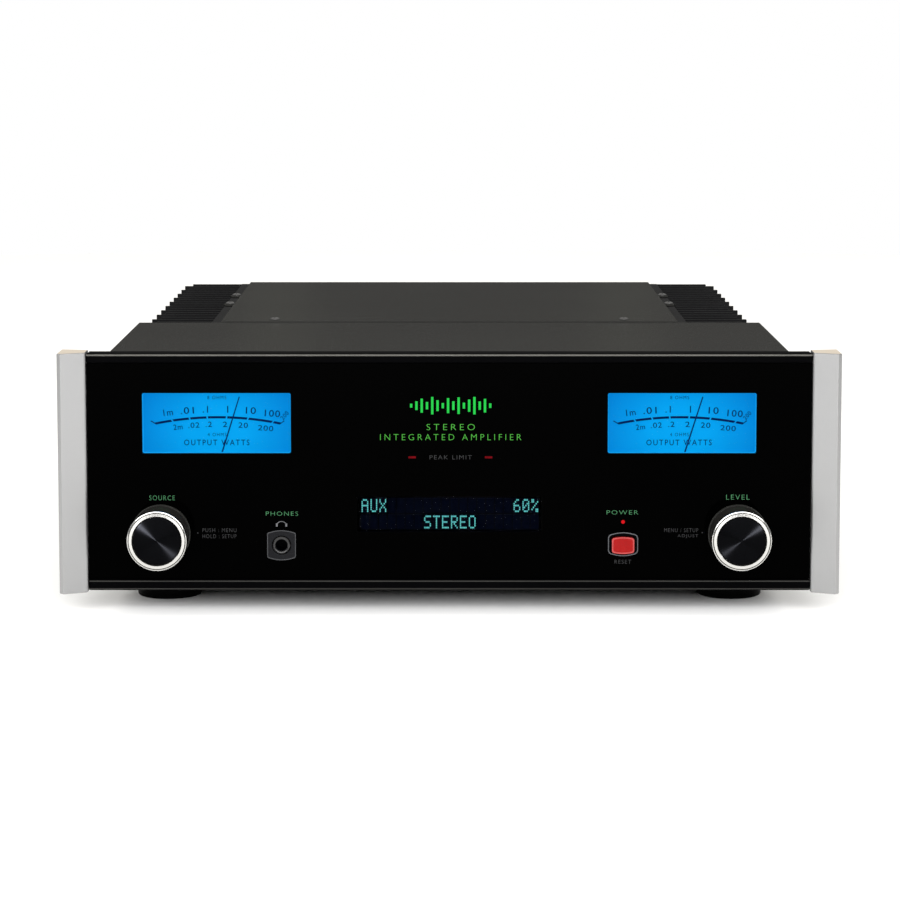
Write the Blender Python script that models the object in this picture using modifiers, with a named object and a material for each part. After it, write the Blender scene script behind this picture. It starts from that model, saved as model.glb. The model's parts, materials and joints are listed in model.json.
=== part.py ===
"""Integrated hi-fi amplifier: glass front with two meters, finned heatsinks along the back half.

Every part is modelled from the front of the glass: its Y is the distance behind that glass, X runs
to the right as the front is faced, and Z is the height above the surface that the feet stand on.
The empty front_datum carries the parts and puts the middle of the whole depth at the world's origin.
"""
import math

import bmesh
import bpy
from mathutils import Matrix, Vector

MM = 0.001
GAP = 0.3 * MM

# Overall size
WIDTH = 444.5 * MM
HEIGHT = 152.4 * MM
KNOB_REACH = 26.0 * MM
CHASSIS_DEPTH = 456.7 * MM
TERMINAL_REACH = 25.3 * MM

# Front
GLASS_THICK = 4.0 * MM
SUBPANEL_THICK = 3.0 * MM
CAP_WIDTH = 15.6 * MM
CAP_BOTTOM = 14.3 * MM
CAP_OUTER_FRONT = -9.0 * MM
CAP_INNER_FRONT = -2.5 * MM
CAP_OUTER_BACK = 15.5 * MM
CAP_INNER_BACK = 12.0 * MM
RAIL_FRONT = -1.6 * MM
RAIL_BACK = 12.0 * MM
TOP_RAIL_Z = (146.4 * MM, 151.7 * MM)
BOTTOM_RAIL_Z = (15.4 * MM, 21.6 * MM)
PANEL_HALF = WIDTH / 2 - CAP_WIDTH - GAP
PANEL_Z = (BOTTOM_RAIL_Z[1] + GAP, TOP_RAIL_Z[0] - GAP)

# Meters
METER_X = 132.6 * MM
WINDOW_WIDTH = 85.0 * MM
WINDOW_Z = (94.4 * MM, 129.2 * MM)
METER_PIVOT_Z = 86.0 * MM
NEEDLE_LENGTH = 41.6 * MM
NEEDLE_WIDTH = 0.9 * MM
NEEDLE_THICK = 0.5 * MM
NEEDLE_REST_TILT = math.radians(17.4)
NEEDLE_Y = 9.2 * MM
DIAL_Y = 12.0 * MM

# Knobs
KNOB_X = 164.8 * MM
KNOB_Z = 48.1 * MM
KNOB_RADIUS = 16.8 * MM
KNOB_FACE_RADIUS = 13.7 * MM
KNOB_BACK = -1.2 * MM
SHAFT_RADIUS = 3.0 * MM
BUSH_RADIUS = 4.5 * MM
KNOB_SEGMENTS = 32

# Small fittings of the front
PHONES_X = -95.9 * MM
PHONES_SIZE = (16.4 * MM, 17.4 * MM)
PHONES_BORE = 3.25 * MM
POWER_X = 99.3 * MM
POWER_SIZE = (17.2 * MM, 13.8 * MM)
POWER_BUTTON_SIZE = (12.8 * MM, 9.8 * MM)
FITTING_Z = 41.5 * MM
BEZEL_THICK = 1.2 * MM
LED_Z = 54.8 * MM
DISPLAY_HALF = 53.0 * MM
DISPLAY_Z = (48.6 * MM, 69.6 * MM)

# Chassis, covers and heatsinks
SHEET = 1.5 * MM
COVER_SHEET = 1.2 * MM
FLOOR_Z = 16.0 * MM
COVER_HALF = 195.3 * MM
COVER_FRONT = 12.6 * MM
COVER_TOP = 150.5 * MM
STEP_Y = 182.4 * MM
REAR_COVER_HALF = 143.7 * MM
REAR_COVER_THICK = 1.0 * MM
HEATSINK_INNER = 143.0 * MM
HEATSINK_BASE = 7.0 * MM
FIN_LONG = 189.5 * MM
FIN_SHORT = 185.0 * MM
FIN_THICK = 2.6 * MM
FIN_PITCH = 14.6 * MM
FIN_COUNT = 19
FIRST_FIN_Y = 188.9 * MM
HEATSINK_TOP = 150.2 * MM
SIDE_SCREW_X = 146.4 * MM
SIDE_SCREW_YS = (294.0 * MM, 353.6 * MM)
FRONT_SCREW_X = 110.3 * MM
FRONT_SCREW_Y = 190.0 * MM
LIP_DEPTH = 16.0 * MM

# Feet
FOOT_X = 166.5 * MM
FRONT_FOOT_Y = 68.0 * MM
REAR_FOOT_X = 120.0 * MM
REAR_FOOT_Y = 415.0 * MM
FOOT_RADIUS = 19.0 * MM

# Rear panel and what it carries
REAR_PANEL_Y = CHASSIS_DEPTH - SHEET
SOCKET_FACE_Y = CHASSIS_DEPTH + GAP
INLET_X = 108.0 * MM
INLET_Z = 45.0 * MM
POST_XS = tuple(x * MM for x in (-118.0, -90.0, -62.0, -34.0))
POST_Z = 108.0 * MM
AUDIO_X = 70.0 * MM
AUDIO_Z = 108.0 * MM
AUDIO_PITCH = 18.0 * MM
AUDIO_COLUMNS = 6
DIGITAL_X = -60.0 * MM
DIGITAL_Z = 50.0 * MM

# Inside
TOROID_CENTRE = (-108.0 * MM, 105.0 * MM)
TOROID_RADIUS = 60.0 * MM
TOROID_HOLE = 20.0 * MM
TOROID_Z = (19.0 * MM, 79.0 * MM)
CAPACITOR_COUNT = 2
CAPACITOR_RADIUS = 31.0 * MM
CAPACITOR_HEIGHT = 88.0 * MM
POWER_BOARD_X = (-30.0 * MM, 170.0 * MM)
POWER_BOARD_Y = (60.0 * MM, 150.0 * MM)
BOARD_THICK = 1.6 * MM


def new_collection(name):
    """An empty collection linked to the scene."""
    collection = bpy.data.collections.new(name)
    bpy.context.scene.collection.children.link(collection)
    return collection


def material(name, colour, roughness, metallic=0.0):
    """A plain Principled BSDF."""
    made = bpy.data.materials.new(name)
    made.use_nodes = True
    shader = made.node_tree.nodes["Principled BSDF"]
    shader.inputs["Base Color"].default_value = (*colour, 1.0)
    shader.inputs["Roughness"].default_value = roughness
    shader.inputs["Metallic"].default_value = metallic
    made.diffuse_color = (*colour, 1.0)
    return made


def add_object(name, mesh, location, collection=None):
    """Link a mesh as a named object under the front datum."""
    made = bpy.data.objects.new(name, mesh)
    (collection or parts).objects.link(made)
    made.parent = datum
    made.location = location
    return made


def box_mesh(name, x, y, z):
    """A box mesh between the given limits."""
    mesh = bpy.data.meshes.new(name)
    size = Vector((x[1] - x[0], y[1] - y[0], z[1] - z[0]))
    centre = Vector((x[0] + x[1], y[0] + y[1], z[0] + z[1])) / 2
    shape = bmesh.new()
    bmesh.ops.create_cube(shape, size=1.0, matrix=Matrix.Translation(centre) @ Matrix.Diagonal((*size, 1.0)))
    shape.to_mesh(mesh)
    shape.free()
    return mesh


def box(name, x, y, z, finish, bevel=0.0, origin=(0.0, 0.0, 0.0)):
    """A box part; its limits are measured from its origin."""
    made = add_object(name, box_mesh(name, x, y, z), origin)
    made.data.materials.append(finish)
    if bevel:
        add_bevel(made, bevel)
    return made


def add_bevel(made, width, segments=1):
    """Round the edges that turn more than 40 degrees."""
    bevel = made.modifiers.new("rounded_edges", "BEVEL")
    bevel.width = width
    bevel.segments = segments
    bevel.limit_method = "ANGLE"
    bevel.angle_limit = math.radians(40)


def turned(name, profile, segments, finish, origin, facing="UP", collection=None):
    """Turn a profile of (radius, height) about an axis; facing FRONT points the top at the front."""
    mesh = bpy.data.meshes.new(name)
    shape = bmesh.new()
    corners = [shape.verts.new((radius, 0.0, height)) for radius, height in profile]
    for first, second in zip(corners, corners[1:]):
        shape.edges.new((first, second))
    if profile[0][0] > 0:
        shape.edges.new((corners[-1], corners[0]))
    shape.to_mesh(mesh)
    shape.free()
    made = add_object(name, mesh, origin, collection)
    screw = made.modifiers.new("turn", "SCREW")
    screw.steps = segments
    screw.render_steps = segments
    screw.use_merge_vertices = True
    screw.merge_threshold = 0.00001
    screw.use_smooth_shade = True
    if facing == "FRONT":
        made.rotation_euler = (math.pi / 2, 0.0, 0.0)
    if finish:
        mesh.materials.append(finish)
    return made


def cylinder_cutter(name, radius, origin, y, segments=24):
    """A cutter along Y between two depths."""
    return turned(name, [(0, -y[0]), (radius, -y[0]), (radius, -y[1]), (0, -y[1])], segments, None,
                  (origin[0], 0.0, origin[1]), "FRONT", cutters)


def upright_cutter(name, radius, origin, z, segments=16):
    """A cutter along Z between two heights."""
    return turned(name, [(0, z[1]), (radius, z[1]), (radius, z[0]), (0, z[0])], segments, None,
                  (origin[0], origin[1], 0.0), "UP", cutters)


def box_cutter(name, x, y, z, origin=(0.0, 0.0, 0.0)):
    """A box-shaped cutter."""
    return add_object(name, box_mesh(name, x, y, z), origin, cutters)


def boolean(target, tools, operation):
    """Cut the tools from the target, or join them to it."""
    for tool in tools:
        step = target.modifiers.new(tool.name, "BOOLEAN")
        step.operation = operation
        step.solver = "EXACT"
        step.object = tool
        tool.hide_render = True
        tool.display_type = "WIRE"


def outline(name, points, thickness, finish, origin=(0.0, 0.0, 0.0), facing="UP", collection=None):
    """A flat outline given a thickness, centred on its plane; FRONT stands it upright, facing the front."""
    curve = bpy.data.curves.new(name, "CURVE")
    curve.dimensions = "2D"
    curve.fill_mode = "BOTH"
    curve.extrude = thickness / 2
    spline = curve.splines.new("POLY")
    spline.points.add(len(points) - 1)
    for point, (across, along) in zip(spline.points, points):
        point.co = (across, along, 0.0, 1.0)
    spline.use_cyclic_u = True
    holder = bpy.data.objects.new(name + "_curve", curve)
    bpy.context.scene.collection.objects.link(holder)
    graph = bpy.context.evaluated_depsgraph_get()
    mesh = bpy.data.meshes.new_from_object(holder.evaluated_get(graph))
    mesh.name = name
    bpy.data.objects.remove(holder)
    shape = bmesh.new()
    shape.from_mesh(mesh)
    bmesh.ops.remove_doubles(shape, verts=shape.verts, dist=0.00001)
    bmesh.ops.recalc_face_normals(shape, faces=shape.faces)
    shape.to_mesh(mesh)
    shape.free()
    made = add_object(name, mesh, origin, collection)
    if facing == "FRONT":
        made.rotation_euler = (math.pi / 2, 0.0, 0.0)
    if finish:
        mesh.materials.clear()
        mesh.materials.append(finish)
    return made


def bowed_points(width, height, bow, steps=8):
    """A rectangle whose top and bottom edges bulge outwards by bow."""
    top = []
    for step in range(steps + 1):
        share = step / steps * 2 - 1
        top.append((share * width / 2, height / 2 - bow * share * share))
    return top + [(-across, -along) for across, along in top]


def arc_points(centre, radius, start, end, steps):
    """Points along an arc, in degrees."""
    angles = [math.radians(start + (end - start) * step / steps) for step in range(steps + 1)]
    return [(centre[0] + radius * math.cos(a), centre[1] + radius * math.sin(a)) for a in angles]


def make_end_cap(side, finish):
    """An upright extruded cheek whose front face slants back towards the glass."""
    outer = side * WIDTH / 2
    inner = side * (WIDTH / 2 - CAP_WIDTH)
    points = [(outer, CAP_OUTER_FRONT), (outer, CAP_OUTER_BACK), (inner, CAP_INNER_BACK), (inner, CAP_INNER_FRONT)]
    middle = (HEIGHT + CAP_BOTTOM) / 2
    name = "end_cap_left" if side < 0 else "end_cap_right"
    cap = outline(name, points, HEIGHT - CAP_BOTTOM, finish, (0.0, 0.0, middle))
    add_bevel(cap, 1.0 * MM, 2)


def make_rails(finish):
    """The two bars that hold the glass along its top and bottom edges."""
    for name, z in (("top_rail", TOP_RAIL_Z), ("bottom_rail", BOTTOM_RAIL_Z)):
        box(name, (-PANEL_HALF, PANEL_HALF), (RAIL_FRONT, RAIL_BACK), z, finish, 0.6 * MM)


def make_glass(finish):
    """The glass sheet, drilled for the two shafts, the headphone socket and the power button."""
    glass = box("glass_panel", (-PANEL_HALF, PANEL_HALF), (0.0, GLASS_THICK), PANEL_Z, finish)
    through = (-MM, GLASS_THICK + MM)
    drills = [
        cylinder_cutter("glass_hole_source", 6.0 * MM, (-KNOB_X, KNOB_Z), through),
        cylinder_cutter("glass_hole_level", 6.0 * MM, (KNOB_X, KNOB_Z), through),
        cylinder_cutter("glass_hole_phones", 6.6 * MM, (PHONES_X, FITTING_Z), through),
        box_cutter("glass_hole_power", (-7.9 * MM, 7.9 * MM), through, (-6.3 * MM, 6.3 * MM),
                   (POWER_X, 0.0, FITTING_Z)),
    ]
    boolean(glass, drills, "DIFFERENCE")


def make_subpanel(finish):
    """The metal plate behind the glass that carries the meters, display and controls."""
    front = GLASS_THICK + GAP
    plate = box("front_subpanel", (-PANEL_HALF, PANEL_HALF), (front, front + SUBPANEL_THICK), PANEL_Z, finish)
    through = (front - MM, front + SUBPANEL_THICK + MM)
    window = (-WINDOW_WIDTH / 2 - MM, WINDOW_WIDTH / 2 + MM)
    window_z = (WINDOW_Z[0] - MM, WINDOW_Z[1] + MM)
    gap = 0.5 * MM
    cuts = [
        box_cutter("window_left", window, through, window_z, (-METER_X, 0.0, 0.0)),
        box_cutter("window_right", window, through, window_z, (METER_X, 0.0, 0.0)),
        box_cutter("window_display", (-DISPLAY_HALF - gap, DISPLAY_HALF + gap), through,
                   (DISPLAY_Z[0] - gap, DISPLAY_Z[1] + gap)),
        box_cutter("window_power", (-7.9 * MM, 7.9 * MM), through, (-6.3 * MM, 6.3 * MM),
                   (POWER_X, 0.0, FITTING_Z)),
        cylinder_cutter("subpanel_hole_source", BUSH_RADIUS + GAP, (-KNOB_X, KNOB_Z), through),
        cylinder_cutter("subpanel_hole_level", BUSH_RADIUS + GAP, (KNOB_X, KNOB_Z), through),
        cylinder_cutter("subpanel_hole_phones", 6.6 * MM, (PHONES_X, FITTING_Z), through),
        cylinder_cutter("subpanel_hole_led", 1.9 * MM, (POWER_X, LED_Z), through, 16),
    ]
    boolean(plate, cuts, "DIFFERENCE")


def make_meter(side, housing_finish, needle_finish):
    """One meter: an open-fronted housing with its dial and pivot pin, and the needle on the pin."""
    suffix = "left" if side < 0 else "right"
    front = GLASS_THICK + SUBPANEL_THICK + 2 * GAP
    wall = 1.6 * MM
    half = WINDOW_WIDTH / 2 + 3.0 * MM
    z = (METER_PIVOT_Z - 6.0 * MM, WINDOW_Z[1] + 4.0 * MM)
    origin = (side * METER_X, 0.0, 0.0)
    housing = box("meter_housing_" + suffix, (-half, half), (front, 30.0 * MM), z, housing_finish, 0.0, origin)
    cavity = box_cutter("meter_cavity_" + suffix, (-half + wall, half - wall), (front - MM, DIAL_Y),
                        (z[0] + wall, z[1] - wall), origin)
    pin = cylinder_cutter("meter_pin_" + suffix, 0.8 * MM, (side * METER_X, METER_PIVOT_Z),
                          (NEEDLE_Y - 0.5 * MM, DIAL_Y + MM), 12)
    boolean(housing, [cavity], "DIFFERENCE")
    boolean(housing, [pin], "UNION")
    make_needle(side, suffix, needle_finish)


def make_needle(side, suffix, finish):
    """A needle that turns on the meter's pin: a thin pointer on a small hub."""
    pivot = (side * METER_X, NEEDLE_Y, METER_PIVOT_Z)
    half_hub = MM
    hub = turned("meter_needle_" + suffix, [(1.2 * MM, half_hub), (2.6 * MM, half_hub), (2.6 * MM, -half_hub),
                                            (1.2 * MM, -half_hub)], 20, finish, pivot, "FRONT")
    half = NEEDLE_WIDTH / 2
    start = 1.8 * MM
    pointer_points = [(-half, start), (half, start), (half * 0.7, NEEDLE_LENGTH), (-half * 0.7, NEEDLE_LENGTH)]
    pointer = outline("needle_pointer_" + suffix, pointer_points, NEEDLE_THICK, None, pivot, "FRONT", cutters)
    pointer.rotation_euler = (math.pi / 2, NEEDLE_REST_TILT, 0.0)
    boolean(hub, [pointer], "UNION")


def make_encoder(name, x, finish):
    """A rotary encoder body with its bush, bored for the shaft and hollowed for the push contact."""
    front = GLASS_THICK + SUBPANEL_THICK + 2 * GAP
    body = box(name, (-7.0 * MM, 7.0 * MM), (front, 22.0 * MM), (-7.0 * MM, 7.0 * MM), finish, 0.0,
               (x, 0.0, KNOB_Z))
    bush = cylinder_cutter(name + "_bush", BUSH_RADIUS, (x, KNOB_Z), (2.5 * MM, front + MM))
    bore = cylinder_cutter(name + "_bore", SHAFT_RADIUS + GAP, (x, KNOB_Z), (0.0, 14.0 * MM))
    well = cylinder_cutter(name + "_well", 4.6 * MM, (x, KNOB_Z), (13.5 * MM, 19.0 * MM))
    boolean(body, [bush], "UNION")
    boolean(body, [bore, well], "DIFFERENCE")


def make_knob(prefix, x, knob_finish, ring_finish, metal_finish):
    """A turned knob with a recessed spun face, its bright front ring and its shaft."""
    front = KNOB_REACH
    back = -KNOB_BACK
    rim_back = front - 3.0 * MM
    face = front - 0.9 * MM
    bore = SHAFT_RADIUS + GAP
    knob_profile = [(0, face), (KNOB_FACE_RADIUS, face), (KNOB_FACE_RADIUS, rim_back), (KNOB_RADIUS, rim_back),
                    (KNOB_RADIUS, back + MM), (KNOB_RADIUS - MM, back), (bore, back), (bore, 18.3 * MM),
                    (0, 18.3 * MM)]
    turned(prefix + "_knob", knob_profile, KNOB_SEGMENTS, knob_finish, (x, 0.0, KNOB_Z), "FRONT")
    inner = KNOB_FACE_RADIUS + GAP
    ring_profile = [(inner, front), (KNOB_RADIUS - 0.5 * MM, front), (KNOB_RADIUS, front - 0.5 * MM),
                    (KNOB_RADIUS, rim_back + GAP), (inner, rim_back + GAP)]
    turned(prefix + "_knob_ring", ring_profile, KNOB_SEGMENTS, ring_finish, (x, 0.0, KNOB_Z), "FRONT")
    shaft_profile = [(0, 18.0 * MM), (SHAFT_RADIUS, 18.0 * MM), (SHAFT_RADIUS, -14.7 * MM), (0, -14.7 * MM)]
    turned(prefix + "_shaft", shaft_profile, 20, metal_finish, (x, 0.0, KNOB_Z), "FRONT")


def make_source_plunger(finish):
    """The disc behind the source shaft that the shaft pushes onto its contact."""
    profile = [(0, -15.0 * MM), (4.0 * MM, -15.0 * MM), (4.0 * MM, -17.0 * MM), (0, -17.0 * MM)]
    turned("source_push_plunger", profile, 20, finish, (-KNOB_X, 0.0, KNOB_Z), "FRONT")


def make_phones(bezel_finish, socket_finish):
    """The headphone socket with its bowed plate."""
    origin = (PHONES_X, 0.0, FITTING_Z)
    middle = -GAP - BEZEL_THICK / 2
    bezel = outline("phones_bezel", bowed_points(*PHONES_SIZE, 1.2 * MM), BEZEL_THICK, bezel_finish,
                    (PHONES_X, middle, FITTING_Z), "FRONT")
    neck = cylinder_cutter("phones_neck", 6.3 * MM, (PHONES_X, FITTING_Z), (-MM, 6.0 * MM))
    hole = cylinder_cutter("phones_hole", 5.3 * MM, (PHONES_X, FITTING_Z), (-3.0 * MM, 8.0 * MM))
    boolean(bezel, [neck], "UNION")
    boolean(bezel, [hole], "DIFFERENCE")
    socket = box("phones_socket", (-8.0 * MM, 8.0 * MM), (7.8 * MM, 38.0 * MM), (-9.0 * MM, 9.0 * MM),
                 socket_finish, 0.0, origin)
    nose = cylinder_cutter("phones_nose", 5.0 * MM, (PHONES_X, FITTING_Z), (-2.2 * MM, 9.0 * MM))
    bore = cylinder_cutter("phones_bore", PHONES_BORE, (PHONES_X, FITTING_Z), (-3.0 * MM, 34.0 * MM))
    boolean(socket, [nose], "UNION")
    boolean(socket, [bore], "DIFFERENCE")


def make_power(bezel_finish, button_finish, switch_finish, led_finish):
    """The power button in its bowed surround, the switch behind it and its lamp."""
    middle = -GAP - BEZEL_THICK / 2
    origin = (POWER_X, 0.0, FITTING_Z)
    bezel = outline("power_bezel", bowed_points(*POWER_SIZE, 1.1 * MM), BEZEL_THICK, bezel_finish,
                    (POWER_X, middle, FITTING_Z), "FRONT")
    half_x = POWER_BUTTON_SIZE[0] / 2 + GAP
    half_z = POWER_BUTTON_SIZE[1] / 2 + GAP
    neck = box_cutter("power_neck", (-7.6 * MM, 7.6 * MM), (-MM, 7.0 * MM), (-6.0 * MM, 6.0 * MM), origin)
    hole = box_cutter("power_hole", (-half_x, half_x), (-3.0 * MM, 9.0 * MM), (-half_z, half_z), origin)
    boolean(bezel, [neck], "UNION")
    boolean(bezel, [hole], "DIFFERENCE")
    half_x -= GAP
    half_z -= GAP
    box("power_button", (-half_x, half_x), (-2.6 * MM, 8.0 * MM), (-half_z, half_z), button_finish,
        0.8 * MM, origin)
    box("power_switch", (-6.5 * MM, 6.5 * MM), (12.0 * MM, 28.0 * MM), (-6.5 * MM, 6.5 * MM), switch_finish,
        0.0, origin)
    lamp = [(0, -4.4 * MM), (1.0 * MM, -4.6 * MM), (1.5 * MM, -5.4 * MM), (1.5 * MM, -12.0 * MM),
            (0, -12.0 * MM)]
    turned("power_lamp", lamp, 16, led_finish, (POWER_X, 0.0, LED_Z), "FRONT")


def make_display(finish):
    """The vacuum display on its board, standing in the subpanel's window."""
    glass = box("display_module", (-DISPLAY_HALF, DISPLAY_HALF), (GLASS_THICK + 0.5 * MM, 13.0 * MM), DISPLAY_Z,
                finish)
    board = box_cutter("display_board", (-62.0 * MM, 62.0 * MM), (12.5 * MM, 14.6 * MM),
                       (DISPLAY_Z[0] - 6.0 * MM, DISPLAY_Z[1] + 6.0 * MM))
    boolean(glass, [board], "UNION")


def make_chassis(finish):
    """The floor pan: wide in front, narrower between the heatsinks, with lips and shoulder walls."""
    wide = COVER_HALF - COVER_SHEET - 0.4 * MM
    narrow = HEATSINK_INNER + HEATSINK_BASE
    front = COVER_FRONT + MM
    back = REAR_PANEL_Y - GAP
    points = [(-wide, front), (wide, front), (wide, STEP_Y), (narrow, STEP_Y), (narrow, back), (-narrow, back),
              (-narrow, STEP_Y), (-wide, STEP_Y)]
    pan = outline("chassis_pan", points, SHEET, finish, (0.0, 0.0, FLOOR_Z + SHEET / 2))
    inside = FLOOR_Z + SHEET / 2
    folds = []
    for side, suffix in ((-1, "left"), (1, "right")):
        lip_x = sorted((side * wide, side * (wide - SHEET)))
        folds.append(box_cutter("pan_lip_" + suffix, lip_x, (front, STEP_Y), (inside, FLOOR_Z + 14.0 * MM)))
        wall_x = sorted((side * wide, side * (HEATSINK_INNER + MM)))
        folds.append(box_cutter("pan_wall_" + suffix, wall_x, (STEP_Y - SHEET, STEP_Y),
                                (inside, COVER_TOP - COVER_SHEET - 0.5 * MM)))
    boolean(pan, folds, "UNION")


def make_front_cover(finish):
    """The U-shaped cover of the wide front section, with a lip that carries the rear cover."""
    outer = COVER_HALF
    inner = COVER_HALF - COVER_SHEET
    under = COVER_TOP - COVER_SHEET
    points = [(-outer, FLOOR_Z), (-outer, COVER_TOP), (outer, COVER_TOP), (outer, FLOOR_Z), (inner, FLOOR_Z),
              (inner, under), (-inner, under), (-inner, FLOOR_Z)]
    depth = STEP_Y - COVER_FRONT
    cover = outline("front_cover", points, depth, finish, (0.0, (STEP_Y + COVER_FRONT) / 2, 0.0), "FRONT")
    lip_half = HEATSINK_INNER - 0.5 * MM
    lip = box_cutter("front_cover_lip", (-lip_half, lip_half), (STEP_Y - MM, STEP_Y + LIP_DEPTH),
                     (under, COVER_TOP - GAP))
    boolean(cover, [lip], "UNION")
    holes = [upright_cutter("lip_hole_" + suffix, 1.8 * MM, (side * FRONT_SCREW_X, FRONT_SCREW_Y),
                            (under - MM, COVER_TOP + MM)) for side, suffix in ((-1, "left"), (1, "right"))]
    boolean(cover, holes, "DIFFERENCE")


def rear_cover_points():
    """The rear cover's outline, with a half-round ear at each side screw."""
    ear = 4.2 * MM
    edge = REAR_COVER_HALF
    reach = math.degrees(math.acos((edge - SIDE_SCREW_X) / ear))
    right = [(edge, STEP_Y)]
    for y in SIDE_SCREW_YS:
        right += arc_points((SIDE_SCREW_X, y), ear, -reach, reach, 12)
    right.append((edge, CHASSIS_DEPTH + GAP))
    return right + [(-across, along) for across, along in reversed(right)]


def screw_places():
    """Where the six cover screws stand."""
    places = [(side * SIDE_SCREW_X, y) for side in (-1, 1) for y in SIDE_SCREW_YS]
    return places + [(side * FRONT_SCREW_X, FRONT_SCREW_Y) for side in (-1, 1)]


def make_rear_cover(finish, screw_finish):
    """The flat lid over the rear section and its six screws."""
    bottom = COVER_TOP
    lid = outline("rear_cover", rear_cover_points(), REAR_COVER_THICK, finish,
                  (0.0, 0.0, bottom + REAR_COVER_THICK / 2))
    holes = []
    seat = bottom + REAR_COVER_THICK + GAP
    for number, place in enumerate(screw_places(), 1):
        holes.append(upright_cutter(f"lid_hole_{number}", 1.9 * MM, place, (bottom - MM, seat + MM)))
        profile = [(0, 1.3 * MM), (1.8 * MM, 1.25 * MM), (2.8 * MM, 0.7 * MM), (3.1 * MM, 0), (1.5 * MM, 0),
                   (1.5 * MM, -7.0 * MM), (0, -7.0 * MM)]
        turned(f"cover_screw_{number}", profile, 20, screw_finish, (*place, seat))
    boolean(lid, holes, "DIFFERENCE")


def heatsink_points(side):
    """The comb seen from above: a base bar with long and short fins in turn."""
    base = HEATSINK_INNER + HEATSINK_BASE
    start = STEP_Y + 0.5 * MM
    end = CHASSIS_DEPTH
    points = [(HEATSINK_INNER, start), (base, start)]
    for number in range(FIN_COUNT):
        y = FIRST_FIN_Y + number * FIN_PITCH
        tip = FIN_LONG if number % 2 else FIN_SHORT
        points += [(base, y), (tip, y), (tip, y + FIN_THICK), (base, y + FIN_THICK)]
    points += [(base, end), (HEATSINK_INNER, end)]
    return [(side * across, along) for across, along in points]


def make_heatsink(side, finish):
    """An extruded heatsink with tapped holes for the side screws of the lid."""
    suffix = "left" if side < 0 else "right"
    bottom = FLOOR_Z + SHEET + GAP
    sink = outline("heatsink_" + suffix, heatsink_points(side), HEATSINK_TOP - bottom, finish,
                   (0.0, 0.0, (HEATSINK_TOP + bottom) / 2))
    holes = [upright_cutter(f"tapping_{suffix}_{number}", 1.8 * MM, (side * SIDE_SCREW_X, y),
                            (HEATSINK_TOP - 12.0 * MM, HEATSINK_TOP + MM))
             for number, y in enumerate(SIDE_SCREW_YS, 1)]
    boolean(sink, holes, "DIFFERENCE")


def make_feet(finish):
    """Four turned feet, recessed underneath for their screws."""
    top = FLOOR_Z - GAP
    profile = [(0, top), (FOOT_RADIUS, top), (FOOT_RADIUS, 11.0 * MM), (FOOT_RADIUS - 1.5 * MM, 8.0 * MM),
               (FOOT_RADIUS - 2.2 * MM, 1.0 * MM), (FOOT_RADIUS - 3.2 * MM, 0), (6.0 * MM, 0),
               (6.0 * MM, 7.0 * MM), (0, 7.0 * MM)]
    for name, x, y in (("front_left", -FOOT_X, FRONT_FOOT_Y), ("front_right", FOOT_X, FRONT_FOOT_Y),
                       ("rear_left", -REAR_FOOT_X, REAR_FOOT_Y), ("rear_right", REAR_FOOT_X, REAR_FOOT_Y)):
        turned("foot_" + name, profile, 24, finish, (x, y, 0.0))


def make_rear_panel(finish):
    """The back plate with windows for the connectors."""
    half = HEATSINK_INNER - 0.4 * MM
    z = (FLOOR_Z + SHEET + GAP, COVER_TOP - GAP)
    through = (REAR_PANEL_Y - MM, CHASSIS_DEPTH + MM)
    panel = box("rear_panel", (-half, half), (REAR_PANEL_Y, CHASSIS_DEPTH), z, finish)
    audio_half = AUDIO_PITCH * AUDIO_COLUMNS / 2 - 4.0 * MM
    cuts = [
        box_cutter("inlet_window", (-14.0 * MM, 14.0 * MM), through, (-10.4 * MM, 10.4 * MM),
                   (INLET_X, 0.0, INLET_Z)),
        box_cutter("audio_window", (-audio_half, audio_half), through, (-14.0 * MM, 14.0 * MM),
                   (AUDIO_X, 0.0, AUDIO_Z)),
        box_cutter("digital_window", (-32.0 * MM, 32.0 * MM), through, (-7.0 * MM, 7.0 * MM),
                   (DIGITAL_X, 0.0, DIGITAL_Z)),
    ]
    cuts += [cylinder_cutter(f"post_hole_{number}", 5.3 * MM, (x, POST_Z), through)
             for number, x in enumerate(POST_XS, 1)]
    boolean(panel, cuts, "DIFFERENCE")


def make_mains_inlet(finish):
    """The three-pin mains inlet: a flange, a body and a recess round its pins."""
    origin = (INLET_X, 0.0, INLET_Z)
    flange_back = SOCKET_FACE_Y + 2.5 * MM
    inlet = box("mains_inlet", (-25.0 * MM, 25.0 * MM), (SOCKET_FACE_Y, flange_back), (-12.5 * MM, 12.5 * MM),
                finish, 0.0, origin)
    body = box_cutter("inlet_body", (-13.6 * MM, 13.6 * MM), (432.0 * MM, SOCKET_FACE_Y + MM),
                      (-10.0 * MM, 10.0 * MM), origin)
    recess = box_cutter("inlet_recess", (-12.0 * MM, 12.0 * MM), (442.0 * MM, flange_back + MM),
                        (-8.0 * MM, 8.0 * MM), origin)
    boolean(inlet, [body], "UNION")
    boolean(inlet, [recess], "DIFFERENCE")
    pins = [box_cutter(f"inlet_pin_{number}", (x - MM, x + MM), (440.0 * MM, 456.0 * MM), (z, z + 4.0 * MM), origin)
            for number, (x, z) in enumerate(((-7.0 * MM, -2.5 * MM), (7.0 * MM, -2.5 * MM), (0.0, 1.5 * MM)), 1)]
    boolean(inlet, pins, "UNION")


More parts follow.
